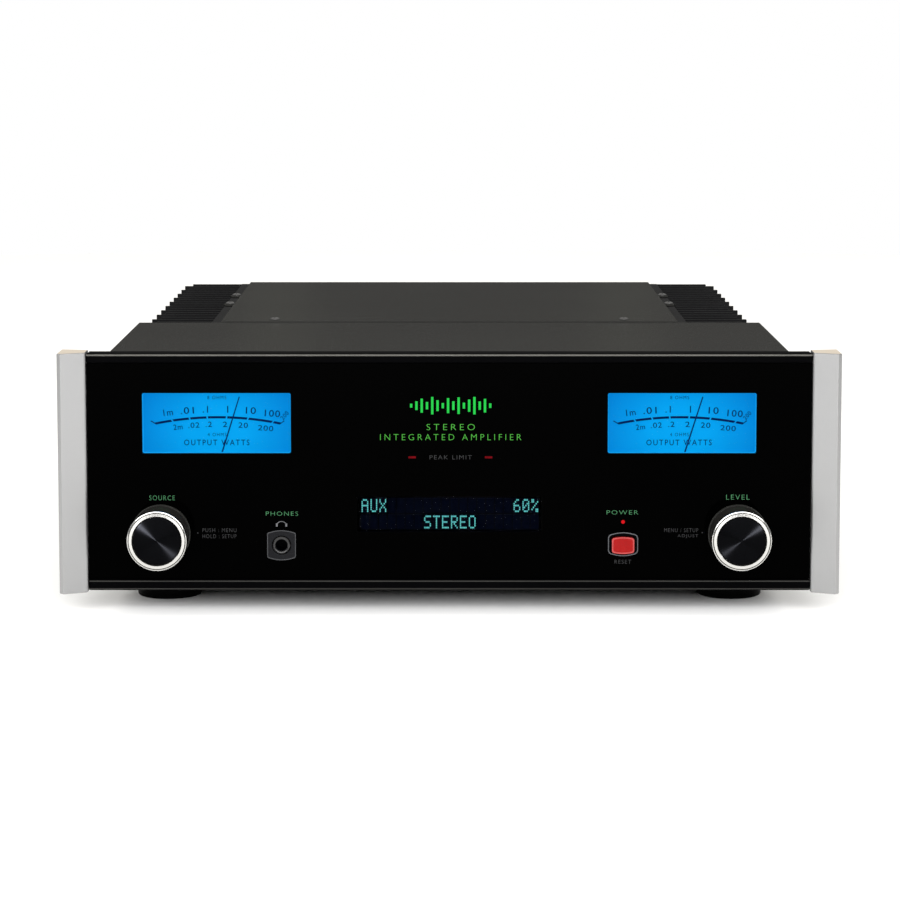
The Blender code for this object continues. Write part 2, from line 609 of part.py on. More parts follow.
def make_speaker_terminals(base_finish, cap_finish):
    """The moulded plate with four studs, and the four screw caps on them."""
    margin = 14.0 * MM
    base = box("speaker_terminal_base", (POST_XS[0] - margin, POST_XS[-1] + margin),
               (SOCKET_FACE_Y, SOCKET_FACE_Y + 3.0 * MM), (POST_Z - 15.0 * MM, POST_Z + 15.0 * MM), base_finish)
    studs = []
    back = -TERMINAL_REACH
    profile = [(0, back + 2.0 * MM), (3.4 * MM, back + 2.0 * MM), (3.4 * MM, -5.0 * MM), (7.0 * MM, -5.0 * MM),
               (7.0 * MM, back + MM), (6.0 * MM, back), (0, back)]
    for number, x in enumerate(POST_XS, 1):
        studs.append(cylinder_cutter(f"post_bush_{number}", 5.0 * MM, (x, POST_Z),
                                     (448.0 * MM, SOCKET_FACE_Y + MM), 20))
        studs.append(cylinder_cutter(f"post_stud_{number}", 3.0 * MM, (x, POST_Z),
                                     (450.0 * MM, CHASSIS_DEPTH + 20.0 * MM), 16))
        turned(f"speaker_cap_{number}", profile, 24, cap_finish, (x, CHASSIS_DEPTH, POST_Z), "FRONT")
    boolean(base, studs, "UNION")


def make_audio_sockets(finish):
    """Two rows of line sockets on one moulding."""
    half = AUDIO_PITCH * AUDIO_COLUMNS / 2
    plate = box("audio_socket_block", (-half, half), (SOCKET_FACE_Y, SOCKET_FACE_Y + 2.0 * MM),
                (-18.0 * MM, 18.0 * MM), finish, 0.0, (AUDIO_X, 0.0, AUDIO_Z))
    body = box_cutter("audio_body", (-half + 5.0 * MM, half - 5.0 * MM), (440.0 * MM, SOCKET_FACE_Y + MM),
                      (-13.5 * MM, 13.5 * MM), (AUDIO_X, 0.0, AUDIO_Z))
    barrels = []
    for column in range(AUDIO_COLUMNS):
        x = AUDIO_X + (column - (AUDIO_COLUMNS - 1) / 2) * AUDIO_PITCH
        for row, z in enumerate((AUDIO_Z - 8.5 * MM, AUDIO_Z + 8.5 * MM)):
            barrels.append(cylinder_cutter(f"barrel_{column}_{row}", 4.15 * MM, (x, z),
                                           (SOCKET_FACE_Y, SOCKET_FACE_Y + 10.0 * MM), 12))
    boolean(plate, [body] + barrels, "UNION")


def make_digital_sockets(finish):
    """The square data socket and two optical sockets on one moulding."""
    origin = (DIGITAL_X, 0.0, DIGITAL_Z)
    plate = box("digital_socket_block", (-36.0 * MM, 36.0 * MM), (SOCKET_FACE_Y, SOCKET_FACE_Y + 2.0 * MM),
                (-10.0 * MM, 10.0 * MM), finish, 0.0, origin)
    body = box_cutter("digital_body", (-31.5 * MM, 31.5 * MM), (440.0 * MM, SOCKET_FACE_Y + MM),
                      (-6.5 * MM, 6.5 * MM), origin)
    boolean(plate, [body], "UNION")
    depth = (446.0 * MM, SOCKET_FACE_Y + 3.0 * MM)
    recesses = [box_cutter(f"digital_recess_{number}", (x - half, x + half), depth, (-half, half), origin)
                for number, (x, half) in enumerate(((-22.0 * MM, 4.2 * MM), (2.0 * MM, 3.6 * MM),
                                                    (22.0 * MM, 3.6 * MM)), 1)]
    boolean(plate, recesses, "DIFFERENCE")


def make_transformer(core_finish, clamp_finish):
    """The toroidal mains transformer and the dished clamp that bolts it down."""
    bottom, top = TOROID_Z
    round_over = 10.0 * MM
    corners = ((TOROID_HOLE + round_over, top - round_over, 180, 90),
               (TOROID_RADIUS - round_over, top - round_over, 90, 0),
               (TOROID_RADIUS - round_over, bottom + round_over, 0, -90),
               (TOROID_HOLE + round_over, bottom + round_over, -90, -180))
    profile = []
    for radius, height, start, end in corners:
        profile += arc_points((radius, height), round_over, start, end, 3)
    turned("toroidal_transformer", profile, 28, core_finish, (*TOROID_CENTRE, 0.0))
    clamp = [(0, top + 5.0 * MM), (6.0 * MM, top + 5.0 * MM), (6.0 * MM, top + 2.0 * MM),
             (28.0 * MM, top + 2.0 * MM), (28.0 * MM, top + GAP), (4.0 * MM, top + GAP),
             (4.0 * MM, FLOOR_Z + SHEET + GAP), (0, FLOOR_Z + SHEET + GAP)]
    turned("transformer_clamp", clamp, 24, clamp_finish, (*TOROID_CENTRE, 0.0))


def make_power_supply(board_finish, can_finish):
    """The supply board with one reservoir capacitor standing on it for each channel."""
    board_z = (24.0 * MM, 24.0 * MM + BOARD_THICK)
    box("power_supply_board", POWER_BOARD_X, POWER_BOARD_Y, board_z, board_finish)
    bottom = board_z[1] + GAP
    can = [(0, bottom + CAPACITOR_HEIGHT), (CAPACITOR_RADIUS - MM, bottom + CAPACITOR_HEIGHT),
           (CAPACITOR_RADIUS, bottom + CAPACITOR_HEIGHT - MM), (CAPACITOR_RADIUS, bottom), (0, bottom)]
    spacing = (POWER_BOARD_X[1] - POWER_BOARD_X[0]) / CAPACITOR_COUNT
    for number in range(CAPACITOR_COUNT):
        x = POWER_BOARD_X[0] + spacing * (number + 0.5)
        turned(f"reservoir_capacitor_{number + 1}", can, 24, can_finish,
               (x, sum(POWER_BOARD_Y) / 2, 0.0))


def make_amplifier_boards(board_finish, device_finish):
    """Each channel's upright board, and its row of output transistors clamped to the heatsink."""
    for side, suffix in ((-1, "left"), (1, "right")):
        board_x = sorted((side * 128.0 * MM, side * (128.0 * MM + BOARD_THICK)))
        box("amplifier_board_" + suffix, board_x, (200.0 * MM, 440.0 * MM), (24.0 * MM, 140.0 * MM), board_finish)
        device_x = sorted((side * 134.0 * MM, side * (HEATSINK_INNER - GAP)))
        box("output_transistors_" + suffix, device_x, (210.0 * MM, 430.0 * MM), (60.0 * MM, 82.0 * MM),
            device_finish)


def make_main_board(finish):
    """The input and control board behind the rear connectors."""
    box("main_board", (-100.0 * MM, 120.0 * MM), (260.0 * MM, 425.0 * MM), (30.0 * MM, 30.0 * MM + BOARD_THICK),
        finish)


for old in list(bpy.data.objects):
    bpy.data.objects.remove(old, do_unlink=True)

parts = new_collection("integrated_amplifier")
cutters = new_collection("cutters")
datum = bpy.data.objects.new("front_datum", None)
datum.location = (0.0, (KNOB_REACH - CHASSIS_DEPTH - TERMINAL_REACH) / 2, 0.0)
parts.objects.link(datum)

black_glass = material("black_glass", (0.004, 0.004, 0.005), 0.05)
silver = material("satin_silver", (0.62, 0.60, 0.57), 0.32, 0.9)
black_metal = material("black_anodised", (0.02, 0.02, 0.021), 0.4, 0.6)
painted_steel = material("painted_steel", (0.045, 0.044, 0.041), 0.5)
plain_steel = material("plated_steel", (0.45, 0.45, 0.44), 0.35, 0.9)
black_plastic = material("black_plastic", (0.02, 0.02, 0.02), 0.5)
dark_grey = material("dark_grey_plastic", (0.05, 0.05, 0.055), 0.45)
chrome = material("bright_ring", (0.8, 0.8, 0.8), 0.12, 1.0)
red_plastic = material("red_plastic", (0.5, 0.03, 0.02), 0.4)
dial_blue = material("dial_blue", (0.0, 0.25, 0.75), 0.5)
navy = material("navy_paint", (0.01, 0.03, 0.12), 0.5)
circuit_green = material("circuit_board", (0.02, 0.15, 0.06), 0.5)
copper = material("copper_winding", (0.5, 0.22, 0.1), 0.4, 0.7)
lamp_red = material("lamp_red", (0.8, 0.03, 0.02), 0.3)
can_blue = material("capacitor_sleeve", (0.02, 0.04, 0.12), 0.35)

make_chassis(plain_steel)
make_subpanel(plain_steel)
make_rear_panel(painted_steel)
make_front_cover(painted_steel)
make_rear_cover(painted_steel, black_metal)
for side_sign in (-1, 1):
    make_heatsink(side_sign, black_metal)
    make_end_cap(side_sign, silver)
    make_meter(side_sign, dial_blue, navy)
make_rails(black_metal)
make_glass(black_glass)
make_display(navy)
make_encoder("source_encoder", -KNOB_X, dark_grey)
make_encoder("level_encoder", KNOB_X, dark_grey)
make_source_plunger(chrome)
make_knob("source", -KNOB_X, black_metal, chrome, plain_steel)
make_knob("level", KNOB_X, black_metal, chrome, plain_steel)
make_phones(dark_grey, black_plastic)
make_power(dark_grey, red_plastic, black_plastic, lamp_red)
make_feet(black_plastic)
make_mains_inlet(black_plastic)
make_speaker_terminals(black_plastic, dark_grey)
make_audio_sockets(black_plastic)
make_digital_sockets(black_plastic)
make_transformer(copper, plain_steel)
make_power_supply(circuit_green, can_blue)
make_amplifier_boards(circuit_green, black_plastic)
make_main_board(circuit_green)
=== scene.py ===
"""Looks of the integrated amplifier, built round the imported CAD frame.

Shapes are worked out in millimetres; object_from turns them into metres.
"""

import json
import math

import bmesh
import bpy
from mathutils import Matrix, Vector

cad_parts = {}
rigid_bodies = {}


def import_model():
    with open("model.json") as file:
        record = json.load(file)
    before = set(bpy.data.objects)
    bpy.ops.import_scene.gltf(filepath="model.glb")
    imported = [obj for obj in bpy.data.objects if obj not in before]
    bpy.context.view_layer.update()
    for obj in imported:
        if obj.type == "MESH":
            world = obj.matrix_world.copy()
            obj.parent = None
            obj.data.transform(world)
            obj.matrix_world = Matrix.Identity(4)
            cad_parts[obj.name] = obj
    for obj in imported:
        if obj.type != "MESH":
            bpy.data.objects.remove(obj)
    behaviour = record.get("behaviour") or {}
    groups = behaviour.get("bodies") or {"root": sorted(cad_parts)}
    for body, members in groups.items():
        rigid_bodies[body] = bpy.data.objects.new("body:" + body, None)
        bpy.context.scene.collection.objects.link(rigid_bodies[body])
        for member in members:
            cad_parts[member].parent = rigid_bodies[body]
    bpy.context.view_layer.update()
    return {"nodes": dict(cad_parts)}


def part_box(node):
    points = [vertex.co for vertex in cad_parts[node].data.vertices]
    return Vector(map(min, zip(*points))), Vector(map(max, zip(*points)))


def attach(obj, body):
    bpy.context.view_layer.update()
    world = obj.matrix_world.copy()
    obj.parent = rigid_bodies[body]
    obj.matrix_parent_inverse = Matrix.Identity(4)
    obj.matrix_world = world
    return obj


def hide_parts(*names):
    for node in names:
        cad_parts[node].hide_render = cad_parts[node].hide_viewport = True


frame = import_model()
nodes = frame["nodes"]
MM = 0.001

# ---- places taken from the frame
def box(node):
    """The lowest and highest corners of a CAD node, in millimetres."""
    low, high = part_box(node)
    return low / MM, high / MM


def middle(node):
    """The centre of a CAD node's box."""
    low, high = box(node)
    return (low + high) / 2


GLASS_Y = box("glass_panel")[0].y
GLASS_BACK = box("glass_panel")[1].y
source = middle("source_knob")
level = middle("level_knob")
phones = middle("phones_socket")
power = middle("power_button")
meters = {"left": middle("meter_housing_left"), "right": middle("meter_housing_right")}
display = middle("display_module")


# ---- materials
def feed(tree, node, inputs):
    """Set a node's inputs to values, or join them to other nodes' sockets."""
    for name, value in inputs.items():
        if isinstance(value, bpy.types.NodeSocket):
            tree.links.new(value, node.inputs[name])
        else:
            node.inputs[name].default_value = value
    return node


def add_node(tree, kind, inputs, **settings):
    """A new shader node with its settings and inputs."""
    node = tree.nodes.new("ShaderNode" + kind)
    for name, value in settings.items():
        setattr(node, name, value)
    return feed(tree, node, inputs)


def shader_of(name):
    """A new node material and its Principled shader."""
    made = bpy.data.materials.new(name)
    made.use_nodes = True
    return made, made.node_tree, made.node_tree.nodes["Principled BSDF"]


def object_place(tree, **settings):
    """Object coordinates, moved or stretched along the axes."""
    here = tree.nodes.new("ShaderNodeTexCoord").outputs["Object"]
    return add_node(tree, "Mapping", {"Vector": here, **settings}).outputs["Vector"]


def noise(tree, scale, detail=3.0, stretch=(1.0, 1.0, 1.0)):
    """A noise texture in object space, stretched along the axes."""
    inputs = {"Scale": scale, "Detail": detail, "Vector": object_place(tree, Scale=stretch)}
    return add_node(tree, "TexNoise", inputs).outputs["Fac"]


def ramp(tree, value, low, high, start=0.35, end=0.65):
    """Two colours spread over a stretch of a value."""
    node = add_node(tree, "ValToRGB", {"Fac": value})
    for element, position, colour in zip(node.color_ramp.elements, (start, end), (low, high)):
        element.position = position
        element.color = (*colour, 1.0)
    return node.outputs["Color"]


def cloudy(tree, value, colour, contrast):
    """A colour that varies a little, darker and lighter, with a value."""
    light = [min(c * (1 + contrast), 1.0) for c in colour]
    return ramp(tree, value, [c * (1 - contrast) for c in colour], light)


def spread(tree, value, low, high):
    """A number spread over the middle of a value's range."""
    inputs = {"Value": value, "From Min": 0.3, "From Max": 0.7, "To Min": low, "To Max": high}
    return add_node(tree, "MapRange", inputs).outputs["Result"]


def bump(tree, height, strength, depth):
    """A bumped normal from a height value; depth is in millimetres."""
    inputs = {"Strength": strength, "Distance": depth * MM, "Height": height}
    return add_node(tree, "Bump", inputs).outputs["Normal"]


def finish(name, colour, roughness, metallic=0.0, specular=0.5, contrast=0.05, cloud=150, grain=2500,
           relief=0.05, stretch=(1.0, 1.0, 1.0), wander=0.06):
    """A surface with soft colour clouds, wandering roughness and a fine grain."""
    made, tree, shader = shader_of(name)
    fine = noise(tree, grain, 2.0, stretch)
    feed(tree, shader, {
        "Base Color": cloudy(tree, noise(tree, cloud, 4.0), colour, contrast),
        "Roughness": spread(tree, fine, max(roughness - wander, 0.01), roughness + wander),
        "Normal": bump(tree, fine, relief, 0.1), "Metallic": metallic, "Specular IOR Level": specular, })
    return made


def glowing(name, colour, contrast=0.06, cloud=300):
    """A lit print or lamp, or a painted glow on a part that gives no light: its light comes from the
    material and varies a little.
    """
    made, tree, shader = shader_of(name)
    feed(tree, shader, {
        "Base Color": (*(c * 0.1 for c in colour), 1.0), "Roughness": 0.4,
        "Specular IOR Level": LIT_SPECULAR,
        "Emission Color": cloudy(tree, noise(tree, cloud), colour, contrast), "Emission Strength": 1.0,
    })
    return made


def dial_light():
    """The blue dial: lit from behind, brightest in the middle and darker towards the top corners."""
    made, tree, shader = shader_of("dial_blue_lit")
    where = object_place(tree, Location=(0.0, 0.0, 0.12), Scale=(16.0, 0.0, 19.0))
    ball = add_node(tree, "TexGradient", {"Vector": where}, gradient_type="SPHERICAL").outputs["Fac"]
    feed(tree, shader, {
        "Base Color": (0.0, 0.01, 0.03, 1.0), "Roughness": 0.6, "Specular IOR Level": LIT_SPECULAR,
        "Emission Color": ramp(tree, ball, (0.0008, 0.165, 0.58), (0.0014, 0.355, 0.83), 0.05, 0.75),
        "Emission Strength": 1.0, })
    return made


def clear_glass(name, tint):
    """A thin clear pane."""
    made, tree, shader = shader_of(name)
    feed(tree, shader, {
        "Base Color": ramp(tree, noise(tree, 60.0), [c * 0.985 for c in tint], tint), "Roughness": 0.0,
        "Transmission Weight": 1.0, "Specular IOR Level": 0.02, "IOR": 1.02, })
    return made


def spun_metal(name, colour, roughness):
    """Metal turned on a lathe: reflections fan out from the centre, with fine rings."""
    made, tree, shader = shader_of(name)
    inputs = {"Scale": 900.0, "Distortion": 0.6, "Vector": object_place(tree)}
    rings = add_node(tree, "TexWave", inputs, wave_type="RINGS", rings_direction="Z").outputs["Fac"]
    feed(tree, shader, {
        "Base Color": ramp(tree, noise(tree, 90.0), [c * 0.9 for c in colour], colour),
        "Roughness": spread(tree, rings, roughness - 0.03, roughness + 0.03),
        "Normal": bump(tree, rings, 0.05, 0.05),
        "Tangent": add_node(tree, "Tangent", {}, direction_type="RADIAL", axis="Z").outputs["Tangent"],
        "Metallic": 1.0, "Anisotropic": 1.0, "Anisotropic Rotation": 0.25, })
    return made


LIT_SPECULAR = 0.008
ALONG_X = (0.02, 1.0, 1.0)
ALONG_Z = (1.0, 1.0, 0.02)
paint = finish("cover_paint", (0.0285, 0.0283, 0.0264), 0.22, specular=0.1, cloud=9, grain=2600, relief=0.1)
sink_black = finish("heatsink_black", (0.008, 0.008, 0.0085), 0.42, specular=0.03, contrast=0.12, cloud=40,
                    grain=900, relief=0.1, stretch=ALONG_Z)
silver = finish("cap_silver", (0.325, 0.325, 0.327), 0.36, metallic=0.9, contrast=0.012, cloud=14,
                grain=1800, relief=0.06, stretch=ALONG_Z, wander=0.03)
# Pale warm finish for the caps' flat top and bottom faces: its colour is a painted reflection of warm light
# from above; its fine grain is the metal's own.
painted_warm_reflection = finish("cap_ends_painted_reflection", (0.62, 0.545, 0.45), 0.5, specular=0.3, contrast=0.03, cloud=60,
                   grain=1800, relief=0.06, stretch=ALONG_X)
rail_black = finish("rail_black", (0.0011, 0.0011, 0.0013), 0.3, specular=0.006, contrast=0.06, cloud=30,
                    grain=1500, stretch=ALONG_X)
# Paler metal for the rail beads and knob skirts: a painted highlight along their edges, brighter on the top
# rail than on the bottom rail and skirts.
bead_painted_highlight = finish("rail_bead_painted_highlight", (0.088, 0.086, 0.078), 0.3, metallic=0.8, specular=0.4, cloud=30, grain=1500,
                   stretch=ALONG_X)
bead_painted_highlight_dim = finish("rail_bead_painted_highlight_dim", (0.021, 0.021, 0.019), 0.35, metallic=0.6, specular=0.4, cloud=30,
                  grain=1500, stretch=ALONG_X)
glass_black = finish("glass_black", (0.0002, 0.0002, 0.0002), 0.05, specular=0.004, contrast=0.1, cloud=12,
                     grain=400, relief=0.0, wander=0.02)
knob_side = finish("knob_black", (0.026, 0.025, 0.0235), 0.34, metallic=0.3, specular=0.3, contrast=0.08,
                   cloud=60, grain=1500, stretch=ALONG_Z)
knob_spun = spun_metal("knob_spun_black", (0.0027, 0.0028, 0.0033), 0.30)
ring_bright = finish("ring_bright", (0.53, 0.525, 0.505), 0.14, metallic=1.0, contrast=0.01, cloud=80,
                     grain=900, relief=0.02, wander=0.02)
grey_plastic = finish("bezel_grey", (0.0046, 0.0048, 0.006), 0.24, specular=0.09, contrast=0.06, grain=3000)
black_plastic = finish("black_plastic", (0.008, 0.008, 0.008), 0.4, specular=0.35, contrast=0.08, cloud=120,
                       grain=3000, relief=0.1)
# Paler rims round the phones plate and the power surround: a painted highlight on their edges, the power
# rim's brighter.
rim_painted_highlight_dim = finish("rim_painted_highlight_dim", (0.03, 0.031, 0.034), 0.3, specular=0.3, contrast=0.06, grain=3000)
rim_painted_highlight = finish("rim_painted_highlight", (0.055, 0.057, 0.064), 0.3, specular=0.4, contrast=0.06, grain=3000)
# A dark inlay for the knob ring's groove: painted shade in the groove.
groove_painted_shade = finish("groove_painted_shade", (0.06, 0.058, 0.052), 0.4, metallic=0.5, specular=0.4, grain=3000)
socket_gloss = finish("socket_black", (0.01, 0.01, 0.0105), 0.14, metallic=0.2, specular=0.6, cloud=200,
                      grain=3000, relief=0.02)
foot_black = finish("foot_black", (0.0012, 0.0012, 0.0012), 0.4, specular=0.03, contrast=0.1, cloud=90,
                    grain=2200, relief=0.15)
red_plastic = finish("button_red", (0.25, 0.007, 0.007), 0.24, specular=0.06, contrast=0.06, relief=0.03)
# A lighter red for the power key's edge ring: a painted highlight on the key's rim.
red_painted_highlight = finish("button_red_painted_highlight", (0.36, 0.05, 0.049), 0.3, specular=0.1, contrast=0.06, relief=0.03)
screw_black = finish("screw_black", (0.085, 0.085, 0.085), 0.25, metallic=0.8, contrast=0.1, cloud=400,
                     grain=3000, relief=0.1)
steel = finish("plated_steel", (0.42, 0.42, 0.4), 0.35, metallic=1.0, contrast=0.08, cloud=25, grain=900,
               relief=0.08)
insulator_white = finish("insulator_white", (0.62, 0.61, 0.58), 0.35, cloud=200, relief=0.03)
nickel = finish("nickel", (0.62, 0.6, 0.56), 0.22, metallic=1.0, contrast=0.04, cloud=200, relief=0.03)
gold = finish("gold_plate", (0.83, 0.58, 0.22), 0.2, metallic=1.0, cloud=200, relief=0.03)
board_green = finish("circuit_board", (0.015, 0.11, 0.045), 0.4, contrast=0.2, cloud=200, grain=1500,
                     relief=0.1)
copper = finish("copper_winding", (0.55, 0.22, 0.09), 0.35, metallic=0.8, contrast=0.15, cloud=60,
                grain=1200, relief=0.3, stretch=(1.0, 1.0, 0.05))
sleeve_blue = finish("capacitor_sleeve", (0.01, 0.02, 0.07), 0.3, contrast=0.08, cloud=60, grain=1500,
                     relief=0.03)
dial_lit = dial_light()
# The needle's faint navy glow is painted light; a needle gives no light of its own.
needle_painted_glow = glowing("needle_navy", (0.0012, 0.014, 0.10))
navy_print = glowing("dial_print", (0.0010, 0.009, 0.075))
# The meter window rims glow blue: a painted highlight standing in for the backlight caught on their edges.
rim_painted_glow = glowing("window_rim", (0.006, 0.33, 0.82))
housing_blue = finish("meter_housing", (0.01, 0.05, 0.16), 0.5, specular=0.1, contrast=0.08, cloud=30)
pane = clear_glass("window_pane", (1.0, 1.0, 1.0))
smoked_pane = clear_glass("display_pane", (0.9, 0.9, 0.9))
display_dark = finish("display_dark", (0.0003, 0.0004, 0.0012), 0.4, specular=0.02, contrast=0.08, cloud=30)
# The unlit display cells glow faintly: painted glow, since unlit cells give no light.
cell_painted_glow = glowing("display_cell", (0.0004, 0.0010, 0.0042), 0.3, 500.0)
dot_teal = glowing("display_dot", (0.13, 0.60, 0.60), 0.12, 1500.0)
emblem_green = glowing("emblem_green", (0.022, 0.56, 0.07))
line_green = glowing("line_green", (0.085, 0.44, 0.06))
label_green = glowing("label_green", (0.085, 0.27, 0.125), 0.25)
label_grey = glowing("label_grey", (0.060, 0.060, 0.062), 0.25)
mark_grey = glowing("mark_grey", (0.20, 0.20, 0.21), 0.2)
lamp_red = glowing("lamp_red", (0.62, 0.008, 0.012))
limit_red = glowing("limit_red", (0.15, 0.003, 0.006), 0.3)


# ---- mesh helpers
def new_object(name, data):
    """An object linked to the scene."""
    made = bpy.data.objects.new(name, data)
    bpy.context.scene.collection.objects.link(made)
    return made


def object_from(name, shape, unit=MM):
    """Turn a bmesh into an object; unit is the length that its numbers count."""
    bmesh.ops.scale(shape, verts=shape.verts, vec=(unit, unit, unit))
    bmesh.ops.recalc_face_normals(shape, faces=shape.faces)
    mesh = bpy.data.meshes.new(name)
    shape.to_mesh(mesh)
    shape.free()
    return new_object(name, mesh)


def smooth(made, angle=35.0):
    """Shade round stretches smooth and keep the corners crisp."""
    made.data.shade_smooth()
    made.data.set_sharp_from_angle(angle=math.radians(angle))


def rounded(made, width, segments=3, angle=30.0, crisp=35.0):
    """Round the edges sharper than angle, and shade the piece smooth up to the crisp angle."""
    bevel = made.modifiers.new("rounded", "BEVEL")
    bevel.width = width * MM
    bevel.segments = segments
    bevel.limit_method = "ANGLE"
    bevel.angle_limit = math.radians(angle)
    bevel.harden_normals = True
    smooth(made, crisp)


def place(made, material, slot, *replaced, body="chassis"):
    """Give a piece its material and body, and hide the CAD nodes it stands for; slot is not used."""
    made.data.materials.clear()
    made.data.materials.append(material)
    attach(made, body)
    if replaced:
        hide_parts(*replaced)
    return made


def thicken(shape, step):
    """Give the flat faces of a shape depth."""
    grown = bmesh.ops.extrude_face_region(shape, geom=shape.faces[:])
    moved = [item for item in grown["geom"] if isinstance(item, bmesh.types.BMVert)]
    bmesh.ops.translate(shape, verts=moved, vec=step)


def prism(name, points, front, back):
    """A flat outline of (x, z) points given depth from front to back along Y."""
    shape = bmesh.new()
    shape.faces.new([shape.verts.new((x, front, z)) for x, z in points])
    thicken(shape, (0.0, back - front, 0.0))
    return object_from(name, shape)


def skin(shape, rings):
    """Faces between neighbouring rings of vertices; a ring of one vertex is a tip."""
    for first, second in zip(rings, rings[1:]):
        count = max(len(first), len(second))
        for step in range(count):
            after = (step + 1) % count
            corners = (first[step % len(first)], first[after % len(first)],
                       second[after % len(second)], second[step % len(second)])
            unique = list(dict.fromkeys(corners))
            if len(unique) > 2:
                shape.faces.new(unique)


def lathe(name, profile, centre, segments=96, facing="FRONT", copies=((0.0, 0.0),)):
    """Turn (radius, height) points about an axis through centre; height runs out of the front, back or up.

    Copies are (x, z) steps from the centre, or (x, y) steps where the piece faces up.
    """
    shape = bmesh.new()
    turn = {"FRONT": Matrix.Rotation(math.pi / 2, 4, "X"), "BACK": Matrix.Rotation(-math.pi / 2, 4, "X"),
            "UP": Matrix.Identity(4)}[facing]
    for step_x, step_z in copies:
        shift = Vector((step_x, step_z, 0.0)) if facing == "UP" else Vector((step_x, 0.0, step_z))
        shift = turn.inverted() @ shift
        rings = []
        for radius, height in profile:
            count = segments if radius else 1
            angles = [math.tau * step / count for step in range(count)]
            spots = [Vector((radius * math.cos(a), radius * math.sin(a), height)) for a in angles]
            rings.append([shape.verts.new(shift + spot) for spot in spots])
        skin(shape, rings + rings[:1] if profile[0][0] > 0 else rings)
    made = object_from(name, shape)
    made.matrix_world = Matrix.Translation(Vector(centre) * MM) @ turn
    smooth(made)
    return made


def cad_copy(name, node):
    """A copy of a CAD node's shape with its flat faces whole again."""
    shape = bmesh.new()
    shape.from_mesh(nodes[node].data)
    bmesh.ops.remove_doubles(shape, verts=shape.verts, dist=0.00001)
    bmesh.ops.dissolve_limit(shape, angle_limit=math.radians(0.5), verts=shape.verts, edges=shape.edges)
    return object_from(name, shape, 1.0)


def refine(name, node, width, material, slot):
    """A CAD node's shape with rounded edges, standing for the node."""
    made = cad_copy(name, node)
    rounded(made, width, 2)
    place(made, material, slot, node)


def face_size(node):
    """The width and height of a CAD node."""
    low, high = box(node)
    return high.x - low.x, high.z - low.z


def cut(made, *tools):
    """Cut tools out of a piece, apply the cuts and remove the tools."""
    for tool in tools:
        step = made.modifiers.new("cut", "BOOLEAN")
        step.operation = "DIFFERENCE"
        step.solver = "EXACT"
        step.object = tool
    apply_modifiers(made)
    for tool in tools:
        bpy.data.objects.remove(tool)


def apply_modifiers(made):
    """Make a piece's evaluated shape its mesh."""
    graph = bpy.context.evaluated_depsgraph_get()
    mesh = bpy.data.meshes.new_from_object(made.evaluated_get(graph))
    made.modifiers.clear()
    made.data = mesh


def ring_plate(name, outline, hole, front, back):
    """A flat ring between two outlines."""
    ring = prism(name, outline, front, back)
    cut(ring, prism("tool_ring", hole, front - 1.0, back + 1.0))
    return ring


def round_rectangle(centre, size, radius, steps=5, bow=0.0):
    """A rectangle of (x, z) points with round corners; bow lifts the middle of its top and bottom edges."""
    half_x = size[0] / 2
    half_z = size[1] / 2
    corners = ((1, 1, 0), (-1, 1, 90), (-1, -1, 180), (1, -1, 270))
    points = []
    for sign_x, sign_z, start in corners:
        corner = (sign_x * (half_x - radius), sign_z * (half_z - bow - radius))
        arc = []
        for step in range(steps + 1):
            angle = math.radians(start + 90 * step / steps)
            arc.append((corner[0] + radius * math.cos(angle), corner[1] + radius * math.sin(angle)))
        points += arc
        if bow and start in (0, 180):
            for step in range(1, 12):
                share = 1 - 2 * step / 12
                x = sign_x * share * (half_x - radius)
                points.append((x, sign_z * (half_z - bow * share * share)))
    return [(centre[0] + x, centre[1] + z) for x, z in points]


def lettering(name, text, centre, size, material, slot, y, tilt=0.0, thickness=0.04, weight=-0.012,
              spacing=1.12):
    """Letters that fill a width and height in the plane at depth y; weight thickens their strokes."""
    curve = bpy.data.curves.new(name, "FONT")
    curve.body = text
    curve.offset = weight
    curve.align_x = "CENTER"
    curve.align_y = "CENTER"
    curve.resolution_u = 3
    curve.space_character = spacing
    holder = new_object(name + "_type", curve)
    graph = bpy.context.evaluated_depsgraph_get()
    mesh = bpy.data.meshes.new_from_object(holder.evaluated_get(graph))
    bpy.data.objects.remove(holder)
    shape = bmesh.new()
    shape.from_mesh(mesh)
    low, high = [Vector([pick(vertex.co[axis] for vertex in shape.verts) for axis in (0, 1)] + [0.0])
                 for pick in (min, max)]
    bmesh.ops.translate(shape, verts=shape.verts, vec=-(low + high) / 2)
    grow = (size[0] / (high.x - low.x), size[1] / (high.y - low.y), 1.0)
    bmesh.ops.scale(shape, verts=shape.verts, vec=grow)
    bmesh.ops.remove_doubles(shape, verts=shape.verts, dist=0.001)
    thicken(shape, (0.0, 0.0, thickness))
    made = object_from(name, shape)
    made.rotation_euler = (math.pi / 2, -tilt, 0.0)
    made.location = Vector((centre[0], y, centre[1])) * MM
    return place(made, material, slot)


def add_block(shape, centre, size):
    """Add a box to a shape."""
    where = Matrix.Translation(centre) @ Matrix.Diagonal((*size, 1.0))
    bmesh.ops.create_cube(shape, size=1.0, matrix=where)


def bar_set(name, bars, front, back, material, slot):
    """Several (x, z, width, height) bars as one piece."""
    shape = bmesh.new()
    for x, z, width, height in bars:
        add_block(shape, (x, (front + back) / 2, z), (width, back - front, height))
    return place(object_from(name, shape), material, slot)


# ---- front: glass, windows, rails, caps
WINDOW = (84.5, 34.45)
WINDOW_Z = 111.7
DISPLAY_WINDOW = (105.2, 20.2)
WINDOW_GAP = 0.02
DISPLAY_WINDOW_Z = display.z + 0.2
PRINT_Y = GLASS_Y - 0.05


